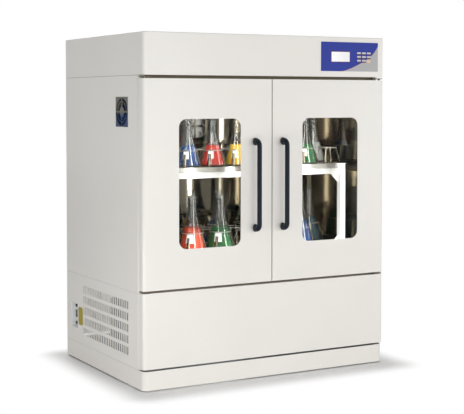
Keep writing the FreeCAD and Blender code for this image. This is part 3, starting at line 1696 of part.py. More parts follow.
def make_platform():
    low_y, high_y = crank_y - s.carrier_edge, idler_y + s.carrier_edge
    plate = box(
        "carrier_plate",
        (-s.carrier_width / 2, low_y, carrier_bottom),
        (s.carrier_width / 2, high_y, carrier_top),
    )
    tools = []
    for name, x, y, radius, _ in shaft_spots:
        pin = s.crank_pin_radius if name == "main" else s.idler_pin_radius
        start = (x + s.orbit_radius, y, carrier_bottom - s.overrun)
        length = s.carrier_sheet + s.overrun * 2
        tools.append(cylinder(f"{name}_pin_bearing", start, pin + s.running_gap, length))
    window_y = idler_y - s.idler_housing_radius * 2 - s.carrier_window
    for side in (-1, 1):
        x = s.idler_offset * side - s.carrier_window / 2
        tools.append(
            box(
                "carrier_window",
                (x, window_y, carrier_bottom - s.overrun),
                (x + s.carrier_window, window_y + s.carrier_window, carrier_top + s.overrun),
            )
        )
    node("platform_carrier", cut("carrier", plate, *tools))

    outer_x = rack_width / 2
    inner_x = outer_x - s.rack_tube
    y_low, y_high = tray_front + s.rack_inset, tray_rear - s.rack_inset
    tube = s.rack_tube
    pieces = []
    for name, bottom in (("lower", carrier_top), ("upper", upper_rail_bottom)):
        block = box(f"{name}_rack_block", (-outer_x, y_low, bottom), (outer_x, y_high, bottom + tube))
        room = box(
            f"{name}_rack_room",
            (-inner_x, y_low + tube, bottom - s.overrun),
            (inner_x, y_high - tube, bottom + tube + s.overrun),
        )
        pieces.append(cut(f"{name}_rack_ring", block, room))
    for name, beam_y in (("front", low_y), ("rear", high_y - tube)):
        pieces.append(
            box(
                f"rack_{name}_beam",
                (-outer_x, beam_y, carrier_top),
                (outer_x, beam_y + tube, carrier_top + tube),
            )
        )
    post_bottom = carrier_top + tube
    post_top = upper_tray_top - s.tray_sheet
    low_leg = s.gusset_leg + s.tray_lip
    for side in (-1, 1):
        xs = sorted((outer_x * side, inner_x * side), key=number)
        for y in (y_low, y_high - s.rack_post_depth):
            pieces.append(
                box("rack_post", (xs[0], y, post_bottom), (xs[1], y + s.rack_post_depth, post_top))
            )
            corner = (inner_x * side, y + s.rack_post_depth / 2)
            pieces.append(gusset((*corner, post_bottom), low_leg, side, 1))
            pieces.append(gusset((*corner, upper_rail_bottom), s.gusset_leg, side, -1))
    node("shaker_rack", fuse("rack", *pieces))

    notch_depth = s.rack_inset + s.rack_post_depth + s.seat_gap
    for label, top, notch_x, notch_top in (
        ("lower_tray", lower_tray_top, inner_x - low_leg - s.seat_gap, lower_tray_top + s.overrun),
        ("upper_tray", upper_tray_top, inner_x - s.seat_gap, upper_tray_top - s.tray_sheet),
    ):
        half = tray_width / 2
        block = box(f"{label}_block", (-half, tray_front, top - s.tray_lip), (half, tray_rear, top))
        tools = [
            box(
                f"{label}_under",
                (-half + s.tray_sheet, tray_front + s.tray_sheet, top - s.tray_lip - s.overrun),
                (half - s.tray_sheet, tray_rear - s.tray_sheet, top - s.tray_sheet),
            )
        ]
        for side in (-1, 1):
            xs = sorted((notch_x * side, (half + s.overrun) * side), key=number)
            for y in (tray_front - s.overrun, tray_rear - notch_depth):
                tools.append(
                    box(
                        f"{label}_notch",
                        (xs[0], y, top - s.tray_lip - s.overrun),
                        (xs[1], y + notch_depth + s.overrun, notch_top),
                    )
                )
        node(label, cut(f"{label}_pan", block, *tools))


def gusset(corner, leg, side, upward):
    """A triangular plate in the corner between the inner side of a post and a rail."""
    item = doc.addObject("Part::Wedge", "gusset")
    half = s.gusset_sheet / 2
    low, high = (0, leg) if upward > 0 else (-leg, 0)
    bind(item, {"Xmin": -half, "Xmax": half, "X2min": -half, "X2max": half})
    bind(item, {"Ymin": 0, "Ymax": leg, "Zmin": low, "Zmax": high, "Z2min": 0, "Z2max": 0})
    return place(item, corner, FreeCAD.Rotation(FreeCAD.Vector(0, 0, 1), 90 * side))


def tray_spots(rows_of_columns, middle, pitch, height):
    """Places on a tray: for each row, from the front, one for each column given."""
    spots = []
    for row, columns in enumerate(rows_of_columns):
        y = tray_front + s.rack_inset + pitch / 2 + pitch * row
        spots += [(pitch * (column - middle), y, height) for column in columns]
    return spots


def clamp(name, flask_radius, flask_height):
    """A flask clamp of two crossed straps whose four fingers lean on the flask."""
    item = body(name)
    view = sketch_on(item, "XZ_Plane")
    knee = flask_height * CLAMP_KNEE_SHARE
    height = flask_height * CLAMP_HEIGHT_SHARE
    neck = flask_radius * NECK_RADIUS_SHARE
    cone_height = flask_height * CONE_HEIGHT_SHARE
    slope = (flask_radius - neck) / cone_height
    wide = flask_radius + s.clamp_play
    narrow = wide - (height - s.clamp_sheet) * slope.value
    wall = s.clamp_sheet
    outside = [(wide + wall, 0), (wide + wall, knee), (narrow + wall, height)]
    right = outside + [(narrow, height), (wide, knee), (wide, wall)]
    left = [(-x, z) for x, z in reversed(right)]
    outline(view, right + left)
    strap = pad(item, view, s.clamp_strap, midplane=True)
    crossed = item.newObject("PartDesign::PolarPattern", f"{name}_crossed")
    crossed.Originals = [strap]
    axis = [part for part in item.Origin.OriginFeatures if part.Role == "Z_Axis"][0]
    crossed.Axis = (axis, [""])
    crossed.Angle = 90
    crossed.Occurrences = 2
    item.Tip = crossed
    return item


def flask(name, radius, height):
    """A conical flask with a straight neck, drawn with flat sides because there are many."""
    neck = radius.value * NECK_RADIUS_SHARE
    levels = (
        (0, radius.value),
        (height.value * CONE_HEIGHT_SHARE, neck),
        (height.value, neck),
    )
    turns = [2 * math.pi * side / FLASK_SIDES for side in range(FLASK_SIDES + 1)]
    rings = [
        [FreeCAD.Vector(reach * math.cos(turn), reach * math.sin(turn), level) for turn in turns]
        for level, reach in levels
    ]
    faces = [Part.Face(Part.makePolygon(ring)) for ring in (rings[0], rings[-1])]
    for lower, upper in zip(rings, rings[1:]):
        for side in range(FLASK_SIDES):
            ends = (lower[side], lower[side + 1], upper[side + 1], upper[side], lower[side])
            faces.append(Part.Face(Part.makePolygon(ends)))
    return shaped(name, Part.Solid(Part.Shell(faces)))


def make_glassware():
    clamps, flasks = [], []
    upper = (s.upper_pitch, upper_tray_top, s.small_flask_radius, s.small_flask_height)
    lower = (s.lower_pitch, lower_tray_top, s.large_flask_radius, large_flask_height)
    for name, filled, spared, (pitch, top, radius, height) in (
        ("upper", UPPER_FLASKS, UPPER_SPARED, upper),
        ("lower", LOWER_FLASKS, LOWER_SPARED, lower),
    ):
        columns = int(tray_width.value // pitch.value)
        gripped = [range(spared, columns - spared)]
        gripped += [range(columns)] * (len(filled) - 1)
        held = [
            [column for column in grips if column % FILL_REPEAT in row]
            for row, grips in zip(filled, gripped)
        ]
        middle = (columns - 1) / 2
        grips = tray_spots(gripped, middle, pitch, top)
        stands = tray_spots(held, middle, pitch, top + s.clamp_sheet)
        clamps += copies(clamp(f"{name}_clamp", radius, height), grips, CLAMP_TURN_ANGLE)
        flasks += copies(flask(f"{name}_flask", radius, height), stands)
    node("flask_clamps", shaped("clamps", Part.makeCompound(clamps)))
    node("flasks", shaped("glassware", Part.makeCompound(flasks)))


make_base()
make_casing()
make_hood()
make_controls()
make_chamber()
make_air_system()
make_condensing_unit()
make_side_fan()
make_service()
make_door(-1, "left_door")
make_door(1, "right_door")
make_hinges()
make_drive()
make_platform()
make_glassware()

doc.recompute()
faulty = [item.Name for item in doc.Objects if {"Invalid", "Error"} & set(item.State)]
if faulty:
    raise RuntimeError(f"objects that did not build: {faulty}")
for item in nodes:
    if item.Shape.isNull() or not item.Shape.isValid():
        raise RuntimeError(f"{item.Label} has no valid shape")
for item in nodes:
    item.Shape.exportStep(f"parts/{item.Label}.step")
print(len(nodes), "sub-parts")
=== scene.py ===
import json
import math

import bmesh
import bpy
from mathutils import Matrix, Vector


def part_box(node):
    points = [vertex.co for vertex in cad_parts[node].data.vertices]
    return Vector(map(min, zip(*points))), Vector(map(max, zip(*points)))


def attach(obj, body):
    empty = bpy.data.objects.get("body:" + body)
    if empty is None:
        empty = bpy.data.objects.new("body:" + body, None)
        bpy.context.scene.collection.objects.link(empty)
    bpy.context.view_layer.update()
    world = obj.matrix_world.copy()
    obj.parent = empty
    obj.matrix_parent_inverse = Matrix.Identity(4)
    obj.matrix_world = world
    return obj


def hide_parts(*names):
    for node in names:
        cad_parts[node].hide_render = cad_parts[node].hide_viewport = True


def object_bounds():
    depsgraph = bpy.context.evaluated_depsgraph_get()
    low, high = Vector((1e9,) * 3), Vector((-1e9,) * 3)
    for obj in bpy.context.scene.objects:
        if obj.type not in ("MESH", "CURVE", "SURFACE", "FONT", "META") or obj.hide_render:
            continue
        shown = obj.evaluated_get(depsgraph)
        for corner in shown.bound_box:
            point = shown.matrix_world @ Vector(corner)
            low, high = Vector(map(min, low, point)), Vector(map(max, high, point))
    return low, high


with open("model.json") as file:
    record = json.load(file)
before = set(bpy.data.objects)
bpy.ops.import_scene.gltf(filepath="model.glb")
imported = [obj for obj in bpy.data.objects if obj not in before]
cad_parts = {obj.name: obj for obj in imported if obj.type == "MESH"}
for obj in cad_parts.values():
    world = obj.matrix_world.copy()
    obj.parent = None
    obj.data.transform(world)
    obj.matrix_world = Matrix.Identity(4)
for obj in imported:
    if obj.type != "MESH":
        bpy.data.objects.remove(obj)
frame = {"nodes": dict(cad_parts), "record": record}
CAD_BOX = [list(corner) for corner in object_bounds()]
NODES = frame["nodes"]
scene = bpy.context.scene


# Shader helpers


def material(name, color, roughness, metallic=0.0, coat=0.0, coat_roughness=0.1):
    """A node material whose uniform values sit on the shader itself."""
    item = bpy.data.materials.new(name)
    item.use_nodes = True
    shader = item.node_tree.nodes["Principled BSDF"]
    shader.inputs["Base Color"].default_value = (*color, 1)
    shader.inputs["Roughness"].default_value = roughness
    shader.inputs["Metallic"].default_value = metallic
    shader.inputs["Coat Weight"].default_value = coat
    shader.inputs["Coat Roughness"].default_value = coat_roughness
    return item


def add(item, kind, **values):
    node = item.node_tree.nodes.new(kind)
    for key, value in values.items():
        setattr(node, key, value)
    return node


def link(item, out, into):
    item.node_tree.links.new(out, into)


def shader_of(item):
    return item.node_tree.nodes["Principled BSDF"]


def object_coords(item, scale=(1, 1, 1)):
    coords = add(item, "ShaderNodeTexCoord")
    mapping = add(item, "ShaderNodeMapping")
    mapping.inputs["Scale"].default_value = scale
    link(item, coords.outputs["Object"], mapping.inputs["Vector"])
    return mapping.outputs["Vector"]


def noise(item, vector, scale, detail=3.0, rough=0.5):
    node = add(item, "ShaderNodeTexNoise")
    node.inputs["Scale"].default_value = scale
    node.inputs["Detail"].default_value = detail
    node.inputs["Roughness"].default_value = rough
    link(item, vector, node.inputs["Vector"])
    return node.outputs["Fac"]


def ramp(item, fac, stops):
    node = add(item, "ShaderNodeValToRGB")
    while len(node.color_ramp.elements) < len(stops):
        node.color_ramp.elements.new(0.5)
    for element, (place, color) in zip(node.color_ramp.elements, stops):
        element.position = place
        element.color = (*color, 1)
    link(item, fac, node.inputs["Fac"])
    return node.outputs["Color"]


def vary_color(item, fac, dark, light, low=0.3, high=0.7):
    link(item, ramp(item, fac, ((low, dark), (high, light))), shader_of(item).inputs["Base Color"])


def vary_roughness(item, fac, low, high):
    node = add(item, "ShaderNodeMapRange")
    node.inputs["To Min"].default_value = low
    node.inputs["To Max"].default_value = high
    link(item, fac, node.inputs["Value"])
    link(item, node.outputs["Result"], shader_of(item).inputs["Roughness"])


def bump(item, fac, strength, distance):
    node = add(item, "ShaderNodeBump")
    node.inputs["Strength"].default_value = strength
    node.inputs["Distance"].default_value = distance
    link(item, fac, node.inputs["Height"])
    link(item, node.outputs["Normal"], shader_of(item).inputs["Normal"])


def scaled(color, factor):
    return tuple(channel * factor for channel in color)


def paint(name, color, roughness=0.34, coat=0.25):
    """Powder coat: a fine orange peel and a very slight unevenness of tone."""
    item = material(name, color, roughness, coat=coat, coat_roughness=0.16)
    coords = object_coords(item)
    broad = noise(item, coords, 2.2, 2.0)
    vary_color(item, broad, scaled(color, 0.985), scaled(color, 1.01))
    fine = noise(item, coords, 650.0, 2.0)
    vary_roughness(item, fine, roughness - 0.05, roughness + 0.06)
    bump(item, fine, 0.08, 0.0004)
    return item


def upright(item, stops):
    """Colour the piece by height, from its foot (0) to its head (1)."""
    coords = add(item, "ShaderNodeTexCoord")
    split = add(item, "ShaderNodeSeparateXYZ")
    link(item, coords.outputs["Generated"], split.inputs["Vector"])
    link(item, ramp(item, split.outputs["Z"], stops), shader_of(item).inputs["Base Color"])


def steel(name, color, roughness, stretch=(1, 1, 1), grain=400.0, depth=0.1):
    """Bare metal with a brushed or rolled grain."""
    item = material(name, color, roughness, metallic=1.0)
    coords = object_coords(item, stretch)
    lines = noise(item, coords, grain, 4.0, 0.6)
    vary_color(item, lines, scaled(color, 0.9), scaled(color, 1.05))
    vary_roughness(item, lines, roughness * 0.75, roughness * 1.3)
    bump(item, lines, depth, 0.0003)
    return item


def plastic(name, color, roughness, coat=0.0, grain=900.0, depth=0.12):
    """Moulded plastic or rubber with a fine texture."""
    item = material(name, color, roughness, coat=coat)
    coords = object_coords(item)
    fine = noise(item, coords, grain, 2.0)
    broad = noise(item, coords, 9.0, 2.0)
    vary_color(item, broad, scaled(color, 0.92), scaled(color, 1.06))
    vary_roughness(item, fine, max(roughness - 0.06, 0.02), roughness + 0.08)
    bump(item, fine, depth, 0.0003)
    return item


def clear(name, face, edge, roughness, gain, haze):
    """Thin clear wall: tinted where it turns away, with a mirror image of the room on it."""
    item = material(name, scaled(face, 0.9), roughness)
    facing = add(item, "ShaderNodeLayerWeight")
    facing.inputs["Blend"].default_value = 0.3
    through = add(item, "ShaderNodeBsdfTransparent")
    tint = ramp(item, facing.outputs["Facing"], ((0.25, face), (0.92, edge)))
    link(item, tint, through.inputs["Color"])
    smear = noise(item, object_coords(item), 14.0, 3.0)
    vary_roughness(item, smear, roughness, roughness + 0.1)
    film = add(item, "ShaderNodeMixShader")
    film.inputs["Fac"].default_value = haze
    link(item, through.outputs["BSDF"], film.inputs[1])
    link(item, shader_of(item).outputs["BSDF"], film.inputs[2])
    shine = add(item, "ShaderNodeBsdfAnisotropic")
    shine.inputs["Color"].default_value = (1, 1, 1, 1)
    shine.inputs["Roughness"].default_value = roughness
    tilt = add(item, "ShaderNodeLayerWeight")
    tilt.inputs["Blend"].default_value = 0.5
    steep = add(item, "ShaderNodeMath", operation="POWER")
    steep.inputs[1].default_value = 4.0
    link(item, tilt.outputs["Facing"], steep.inputs[0])
    strong = add(item, "ShaderNodeMapRange")
    strong.inputs["To Min"].default_value = gain
    strong.inputs["To Max"].default_value = min(gain * 8, 0.7)
    link(item, steep.outputs["Value"], strong.inputs["Value"])
    whole = add(item, "ShaderNodeMixShader")
    link(item, strong.outputs["Result"], whole.inputs["Fac"])
    link(item, film.outputs["Shader"], whole.inputs[1])
    link(item, shine.outputs["BSDF"], whole.inputs[2])
    link(item, whole.outputs["Shader"], item.node_tree.nodes["Material Output"].inputs["Surface"])
    return item


def liquid(name, color, deep):
    """Coloured liquid, a little darker in slow clouds."""
    item = material(name, color, 0.06)
    shader_of(item).inputs["Specular IOR Level"].default_value = 0.25
    coords = object_coords(item)
    vary_color(item, noise(item, coords, 9.0, 2.0), deep, color, 0.22, 0.52)
    vary_roughness(item, noise(item, coords, 30.0, 2.0), 0.04, 0.12)
    return item


WHITE = (0.80, 0.775, 0.73)
MATERIALS = {
    "painted_white": paint("paint_white", WHITE),
    "grey_frame_paint": paint("paint_grey", (0.21, 0.22, 0.23), 0.42, 0.1),
    # Mirror stainless of the chamber liner and clamps; its dark olive tone is painted shade of the
    # closed chamber
    "mirror_stainless": steel("steel_mirror_painted_shade", (0.28, 0.25, 0.195), 0.05, (4, 4, 1), 5.0, 0.0),
    "brushed_stainless": steel("steel_brushed", (0.60, 0.59, 0.56), 0.30, (1, 40, 40), 30.0, 0.10),
    # Jamb paint: a dark breaker strip whose olive-brown tone is also painted shade of the door
    # gaps and seams
    "dark_jamb_paint": paint("paint_jamb_painted_shade", (0.135, 0.10, 0.045), 0.45, 0.05),
    "white_rack_paint": paint("paint_rack", (0.93, 0.93, 0.92), 0.28, 0.3),
    "zinc_steel": steel("steel_zinc", (0.58, 0.58, 0.56), 0.42, (1, 1, 1), 45.0, 0.15),
    "cast_aluminium": steel("aluminium_cast", (0.62, 0.62, 0.60), 0.48, (1, 1, 1), 220.0, 0.35),
    "compressor_black": paint("paint_black", (0.022, 0.022, 0.025), 0.3, 0.4),
    # Foam seen in the seams: greyish tan instead of its own yellow, painted shade of the seams
    "foam_yellow": plastic("foam_cut_painted_shade", (0.33, 0.30, 0.24), 0.85, 0.0, 260.0, 0.6),
    "door_liner_white": plastic("liner_white", (0.80, 0.79, 0.76), 0.30, 0.3),
    # Light grey rubber seal; its pale tone also paints light into the shaded door gaps
    "seal_grey": plastic("seal_rubber_painted_light", (0.74, 0.73, 0.70), 0.62),
    "belt_black": plastic("belt_rubber", (0.018, 0.018, 0.018), 0.66),
    "foot_black": plastic("foot_rubber", (0.022, 0.022, 0.022), 0.6),
    "handle_slate": plastic("handle_slate", (0.006, 0.012, 0.020), 0.30, 0.0, 1200.0, 0.05),
    "display_white": plastic("display_face", (0.98, 0.98, 0.98), 0.3, 0.2, 60.0, 0.01),
    "key_grey": plastic("key_grey", (0.56, 0.57, 0.60), 0.4),
    "key_orange": plastic("key_orange", (0.74, 0.50, 0.33), 0.4),
    "board_green": plastic("board_resin", (0.03, 0.17, 0.08), 0.35, 0.3, 90.0, 0.2),
    "fan_navy": plastic("fan_navy", (0.016, 0.05, 0.17), 0.32),
    "fan_frame_dark": plastic("fan_frame", (0.04, 0.04, 0.032), 0.38),
    # Service recess: the body's white paint made brighter, painted light inside the recess
    "recess_white": paint("paint_recess_painted_light", (0.95, 0.96, 0.96), 0.35, 0.2),
    "service_yellow": paint("paint_service", (0.37, 0.30, 0.012), 0.4, 0.0),
    "fitting_black": plastic("fitting_black", (0.012, 0.012, 0.013), 0.38, 0.2),
    "window_glass": clear("glass_window", (0.97, 0.97, 0.96), (0.7, 0.72, 0.7), 0.01, 0.003, 0.0),
    "flask_glass": clear(
        "glass_flask", (0.98, 0.985, 0.98), (0.66, 0.68, 0.66), 0.03, 0.050, 0.012
    ),
}
for slot, level in (
    ("handle_slate", 0.14),
    ("fan_navy", 0.15),
    ("fan_frame_dark", 0.15),
    ("service_yellow", 0.2),
    ("display_white", 0.2),
):
    shader_of(MATERIALS[slot]).inputs["Specular IOR Level"].default_value = level

# Keys are dark red along their lower edge; the fan frame turns from navy to olive upwards
MAROON, KEY_TOP = (0.075, 0.022, 0.045), (0.58, 0.58, 0.61)
upright(MATERIALS["key_grey"], ((0.0, MAROON), (0.40, MAROON), (0.48, KEY_TOP), (1.0, KEY_TOP)))
upright(
    MATERIALS["fan_frame_dark"],
    (
        (0.0, (0.022, 0.045, 0.120)),
        (0.38, (0.040, 0.066, 0.135)),
        (0.52, (0.150, 0.145, 0.125)),
        (1.0, (0.145, 0.145, 0.125)),
    ),
)
GLASS = MATERIALS["flask_glass"]
LIQUIDS = {
    "red": liquid("liquid_red", (0.78, 0.030, 0.010), (0.34, 0.008, 0.003)),
    "orange": liquid("liquid_orange", (0.84, 0.075, 0.012), (0.42, 0.022, 0.004)),
    "blue": liquid("liquid_blue", (0.001, 0.065, 0.27), (0.001, 0.018, 0.10)),
    "green": liquid("liquid_green", (0.001, 0.15, 0.025), (0.001, 0.05, 0.010)),
    "yellow": liquid("liquid_yellow", (0.88, 0.52, 0.02), (0.55, 0.24, 0.005)),
    "teal": liquid("liquid_teal", (0.004, 0.10, 0.16), (0.002, 0.035, 0.06)),
    "clear": liquid("liquid_clear", (0.55, 0.58, 0.57), (0.32, 0.36, 0.35)),
}
PATCH = plastic("patch_white", (0.86, 0.86, 0.85), 0.5, 0.0, 300.0, 0.05)


# Control overlay: a blue field and a pale field that meet on a curve


def overlay_material():
    item = material("overlay_print", (0.035, 0.055, 0.30), 0.42)
    low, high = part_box("control_overlay")
    coords = add(item, "ShaderNodeTexCoord")
    split = add(item, "ShaderNodeSeparateXYZ")
    link(item, coords.outputs["Object"], split.inputs["Vector"])
    shares = []
    for axis in ("X", "Z"):
        index = "XYZ".index(axis)
        node = add(item, "ShaderNodeMapRange")
        node.inputs["From Min"].default_value = low[index]
        node.inputs["From Max"].default_value = high[index]
        link(item, split.outputs[axis], node.inputs["Value"])
        shares.append(node.outputs["Result"])
    curve = add(item, "ShaderNodeFloatCurve")
    points = curve.mapping.curves[0].points
    places = ((0.0, 0.0), (0.36, 0.0), (0.49, 0.08), (0.62, 0.20))
    places += ((0.75, 0.345), (0.88, 0.54), (1.0, 0.88))
    for _ in range(len(places) - 2):
        points.new(0.5, 0.5)
    for point, place in zip(points, places):
        point.location = place
    curve.mapping.update()
    link(item, shares[0], curve.inputs["Value"])
    gap = add(item, "ShaderNodeMath", operation="SUBTRACT")
    link(item, curve.outputs["Value"], gap.inputs[0])
    link(item, shares[1], gap.inputs[1])
    blue, pale, line = (0.036, 0.055, 0.32), (0.45, 0.45, 0.455), (0.60, 0.34, 0.38)
    color = ramp(
        item,
        shift(item, gap.outputs["Value"], 0.5),
        ((0.494, blue), (0.497, line), (0.512, line), (0.515, pale)),
    )
    grain = noise(item, coords.outputs["Object"], 700.0)
    shader_of(item).inputs["Specular IOR Level"].default_value = 0.12
    low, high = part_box("display_window")
    away = add(item, "ShaderNodeVectorMath", operation="SUBTRACT")
    away.inputs[1].default_value = (low + high) / 2
    link(item, coords.outputs["Object"], away.inputs[0])
    size = add(item, "ShaderNodeVectorMath", operation="ABSOLUTE")
    link(item, away.outputs["Vector"], size.inputs[0])
    past = add(item, "ShaderNodeVectorMath", operation="SUBTRACT")
    past.inputs[1].default_value = (high - low) / 2
    link(item, size.outputs["Vector"], past.inputs[0])
    sides = add(item, "ShaderNodeSeparateXYZ")
    link(item, past.outputs["Vector"], sides.inputs["Vector"])
    outer = add(item, "ShaderNodeMath", operation="MAXIMUM")
    link(item, sides.outputs["X"], outer.inputs[0])
    link(item, sides.outputs["Z"], outer.inputs[1])
    border = add(item, "ShaderNodeMapRange")
    border.inputs["From Min"].default_value = 0.0022
    border.inputs["From Max"].default_value = 0.0032
    link(item, outer.outputs["Value"], border.inputs["Value"])
    framed = add(item, "ShaderNodeMix", data_type="RGBA")
    framed.inputs["A"].default_value = (0.13, 0.012, 0.05, 1)
    link(item, border.outputs["Result"], framed.inputs["Factor"])
    link(item, color, framed.inputs["B"])
    link(item, framed.outputs["Result"], shader_of(item).inputs["Base Color"])
    vary_roughness(item, grain, 0.38, 0.50)
    bump(item, grain, 0.05, 0.0002)
    return item


def shift(item, value, amount):
    node = add(item, "ShaderNodeMath", operation="ADD")
    node.inputs[1].default_value = amount
    link(item, value, node.inputs[0])
    return node.outputs["Value"]


MATERIALS["overlay_blue"] = overlay_material()

# Every CAD node takes the material of its record slot
for entry in frame["record"]["subparts"]:
    piece = NODES[entry["node"]]
    piece.data.materials.clear()
    piece.data.materials.append(MATERIALS[entry["material_slot"]])


# Mesh helpers


def finish_mesh(name, mesh, item, body):
    """Turn a bmesh into a smooth shaded piece that rides on a CAD body."""
    bmesh.ops.recalc_face_normals(mesh, faces=mesh.faces)
    data = bpy.data.meshes.new(name)
    mesh.to_mesh(data)
    mesh.free()
    piece = bpy.data.objects.new(name, data)
    scene.collection.objects.link(piece)
    data.materials.append(item)
    for polygon in data.polygons:
        polygon.use_smooth = True
    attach(piece, body)
    return piece


def lathe(mesh, profile, centre, segments=40):
    """Turn a closed or open (radius, height) profile round a vertical axis."""
    rings = []
    for radius, height in profile:
        if radius < 1e-6:
            rings.append([mesh.verts.new((centre[0], centre[1], centre[2] + height))])
            continue
        ring = []
        for step in range(segments):
            turn = 2 * math.pi * step / segments
            x = centre[0] + radius * math.cos(turn)
            y = centre[1] + radius * math.sin(turn)
            ring.append(mesh.verts.new((x, y, centre[2] + height)))
        rings.append(ring)
    for first, second in zip(rings, rings[1:]):
        for step in range(segments):
            ahead = (step + 1) % segments
            corners = []
            for ring, index in ((first, step), (first, ahead), (second, ahead), (second, step)):
                vertex = ring[0] if len(ring) == 1 else ring[index]
                if vertex not in corners:
                    corners.append(vertex)
            mesh.faces.new(corners)


def sweep(mesh, points, sections, closed=False):
    """Join cross sections, each a list of offsets in the local (side, up) plane."""
    rings = []
    count = len(points)
    for index, point in enumerate(points):
        before = points[index - 1] if closed or index else points[index]
        after = points[(index + 1) % count] if closed or index < count - 1 else points[index]
        ahead = (Vector(after) - Vector(before)).normalized()
        side = sections[index][0]
        up = ahead.cross(side).normalized()
        ring = [
            mesh.verts.new(Vector(point) + side * a + up * b) for a, b in sections[index][1]
        ]
        rings.append(ring)
    pairs = list(zip(rings, rings[1:]))
    if closed:
        pairs.append((rings[-1], rings[0]))
    for first, second in pairs:
        size = len(first)
        for step in range(size):
            ahead = (step + 1) % size
            mesh.faces.new((first[step], first[ahead], second[ahead], second[step]))
    if not closed:
        mesh.faces.new(rings[0])
        mesh.faces.new(list(reversed(rings[-1])))
    return rings


def ellipse(a, b, count=20):
    """Points round an ellipse of half widths a and b."""
    turns = [2 * math.pi * step / count for step in range(count)]
    return [(a * math.cos(turn), b * math.sin(turn)) for turn in turns]


# Door handles: a round bar with swollen feet

BAR_RADIUS = 0.0105
FOOT_HALF_HEIGHT = 0.0175
BEND_RADIUS = 0.0195
BEND_PARTS = 7
BEND_HALF_WIDTH, BEND_NARROWING = 0.0108, 0.0003
BEND_HALF_HEIGHT, BEND_FLATTENING = 0.0145, 0.0040
STRAIGHT_LEAD = 0.012


def make_handle(side):
    """One handle as a single sweep from its lower foot to its upper one."""
    node = f"{side}_door_handle"
    low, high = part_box(node)
    x = (low.x + high.x) / 2
    door = high.y
    axis_y = low.y + BAR_RADIUS
    across = Vector((1, 0, 0))
    points, sections = [], []
    for end in (-1, 1):
        edge = low.z if end < 0 else high.z
        centre_z = edge - FOOT_HALF_HEIGHT * end
        run = [
            (door - 0.0005, centre_z, 0.0110, 0.0172),
            (door - 0.010, centre_z, 0.0110, FOOT_HALF_HEIGHT),
            (door - 0.022, centre_z, 0.0109, 0.0160),
        ]
        for step in range(BEND_PARTS + 1):
            turn = math.pi / 2 * step / BEND_PARTS
            y = axis_y + BEND_RADIUS - BEND_RADIUS * math.sin(turn)
            z = centre_z - end * (BEND_RADIUS - BEND_RADIUS * math.cos(turn))
            wide = BEND_HALF_WIDTH - BEND_NARROWING * step / BEND_PARTS
            tall = BEND_HALF_HEIGHT - BEND_FLATTENING * step / BEND_PARTS
            run.append((y, z, wide, tall))
        lead_z = centre_z - end * (BEND_RADIUS + STRAIGHT_LEAD)
        run.append((axis_y, lead_z, BAR_RADIUS, BAR_RADIUS))
        if end > 0:
            run.reverse()
        for y, z, wide, tall in run:
            points.append((x, y, z))
            sections.append((across, ellipse(wide, tall)))
    mesh = bmesh.new()
    sweep(mesh, points, sections)
    slot = "handle_slate"
    piece = finish_mesh(f"{side}_handle_grip", mesh, MATERIALS[slot], f"{side}_door")
    smooth = piece.modifiers.new("smooth", "SUBSURF")
    smooth.levels = smooth.render_levels = 1
    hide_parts(node)


for side in ("left", "right"):
    make_handle(side)


# Flask clamps, flasks and what they hold

TRAY_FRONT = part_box("upper_tray")[0].y
UPPER_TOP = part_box("upper_tray")[1].z
LOWER_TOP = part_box("lower_tray")[1].z
INSET = 0.005
SHEET = 0.0015
TIERS = (
    {
        "top": UPPER_TOP,
        "pitch": 0.122,
        "middle": 3.5,
        "radius": 0.055,
        "height": 0.204,
        "card": (0.031, 0.032),
        "clamps": (range(8), range(8), range(8)),
        "flasks": (
            {0: "blue", 1: "blue", 2: "red", 3: "yellow", 5: "red", 6: "green"},
            {5: "orange", 7: "clear"},
            {2: "red", 3: "green", 7: "blue"},
        ),
    },
    {
        "top": LOWER_TOP,
        "pitch": 0.140,
        "middle": 3.0,
        "radius": 0.065,
        "height": 0.247,
        "card": (0.040, 0.038),
        "clamps": (range(1, 6), range(7), range(7)),
        "flasks": (
            {1: "orange", 2: "green", 5: "blue"},
            {6: "teal"},
            {2: "yellow", 3: "blue", 6: "green"},
        ),
    },
)
FINGERS = 4
FINGER_HALF_THICKNESS = 0.0007
CLAMP_TURN = math.pi / 4
CLAMP_HEIGHT_SHARE = 0.37
CLAMP_KNEE_SHARE = 0.06
CLAMP_SCREWS = 3
SCREW_RING_SHARE = 0.25
PLATE_SHARE = 0.42
PLAY = 0.0022
SPRING_COILS = 90
SPRING_STEPS = 180
WIRE_RADIUS, WIRE_RIPPLE = 0.0016, 0.00045
CONE_SHARE = 0.71
NECK_SHARE = 0.31
GLASS_WALL = 0.0016
FLASK_LIFT = 0.0022
FLASK_SEGMENTS = 48
FILL_GAP = 0.0021
FILL_SHARE, FILL_SPREAD = 0.45, 0.02
CARD_FACING = math.radians(230)
CARD_ROWS, CARD_COLUMNS = 4, 8
CARD_THICKNESS = 0.0003


def spot(tier, row, column):
    """Where a clamp stands: columns from the left, rows from the front."""
    x = tier["pitch"] * (column - tier["middle"])
    y = TRAY_FRONT + INSET + tier["pitch"] * (row + 0.5)
    return (x, y, tier["top"])


def cone_slope(tier):
    """How much the flask narrows for each metre of height."""
    return tier["radius"] * (1 - NECK_SHARE) / (tier["height"] * CONE_SHARE)


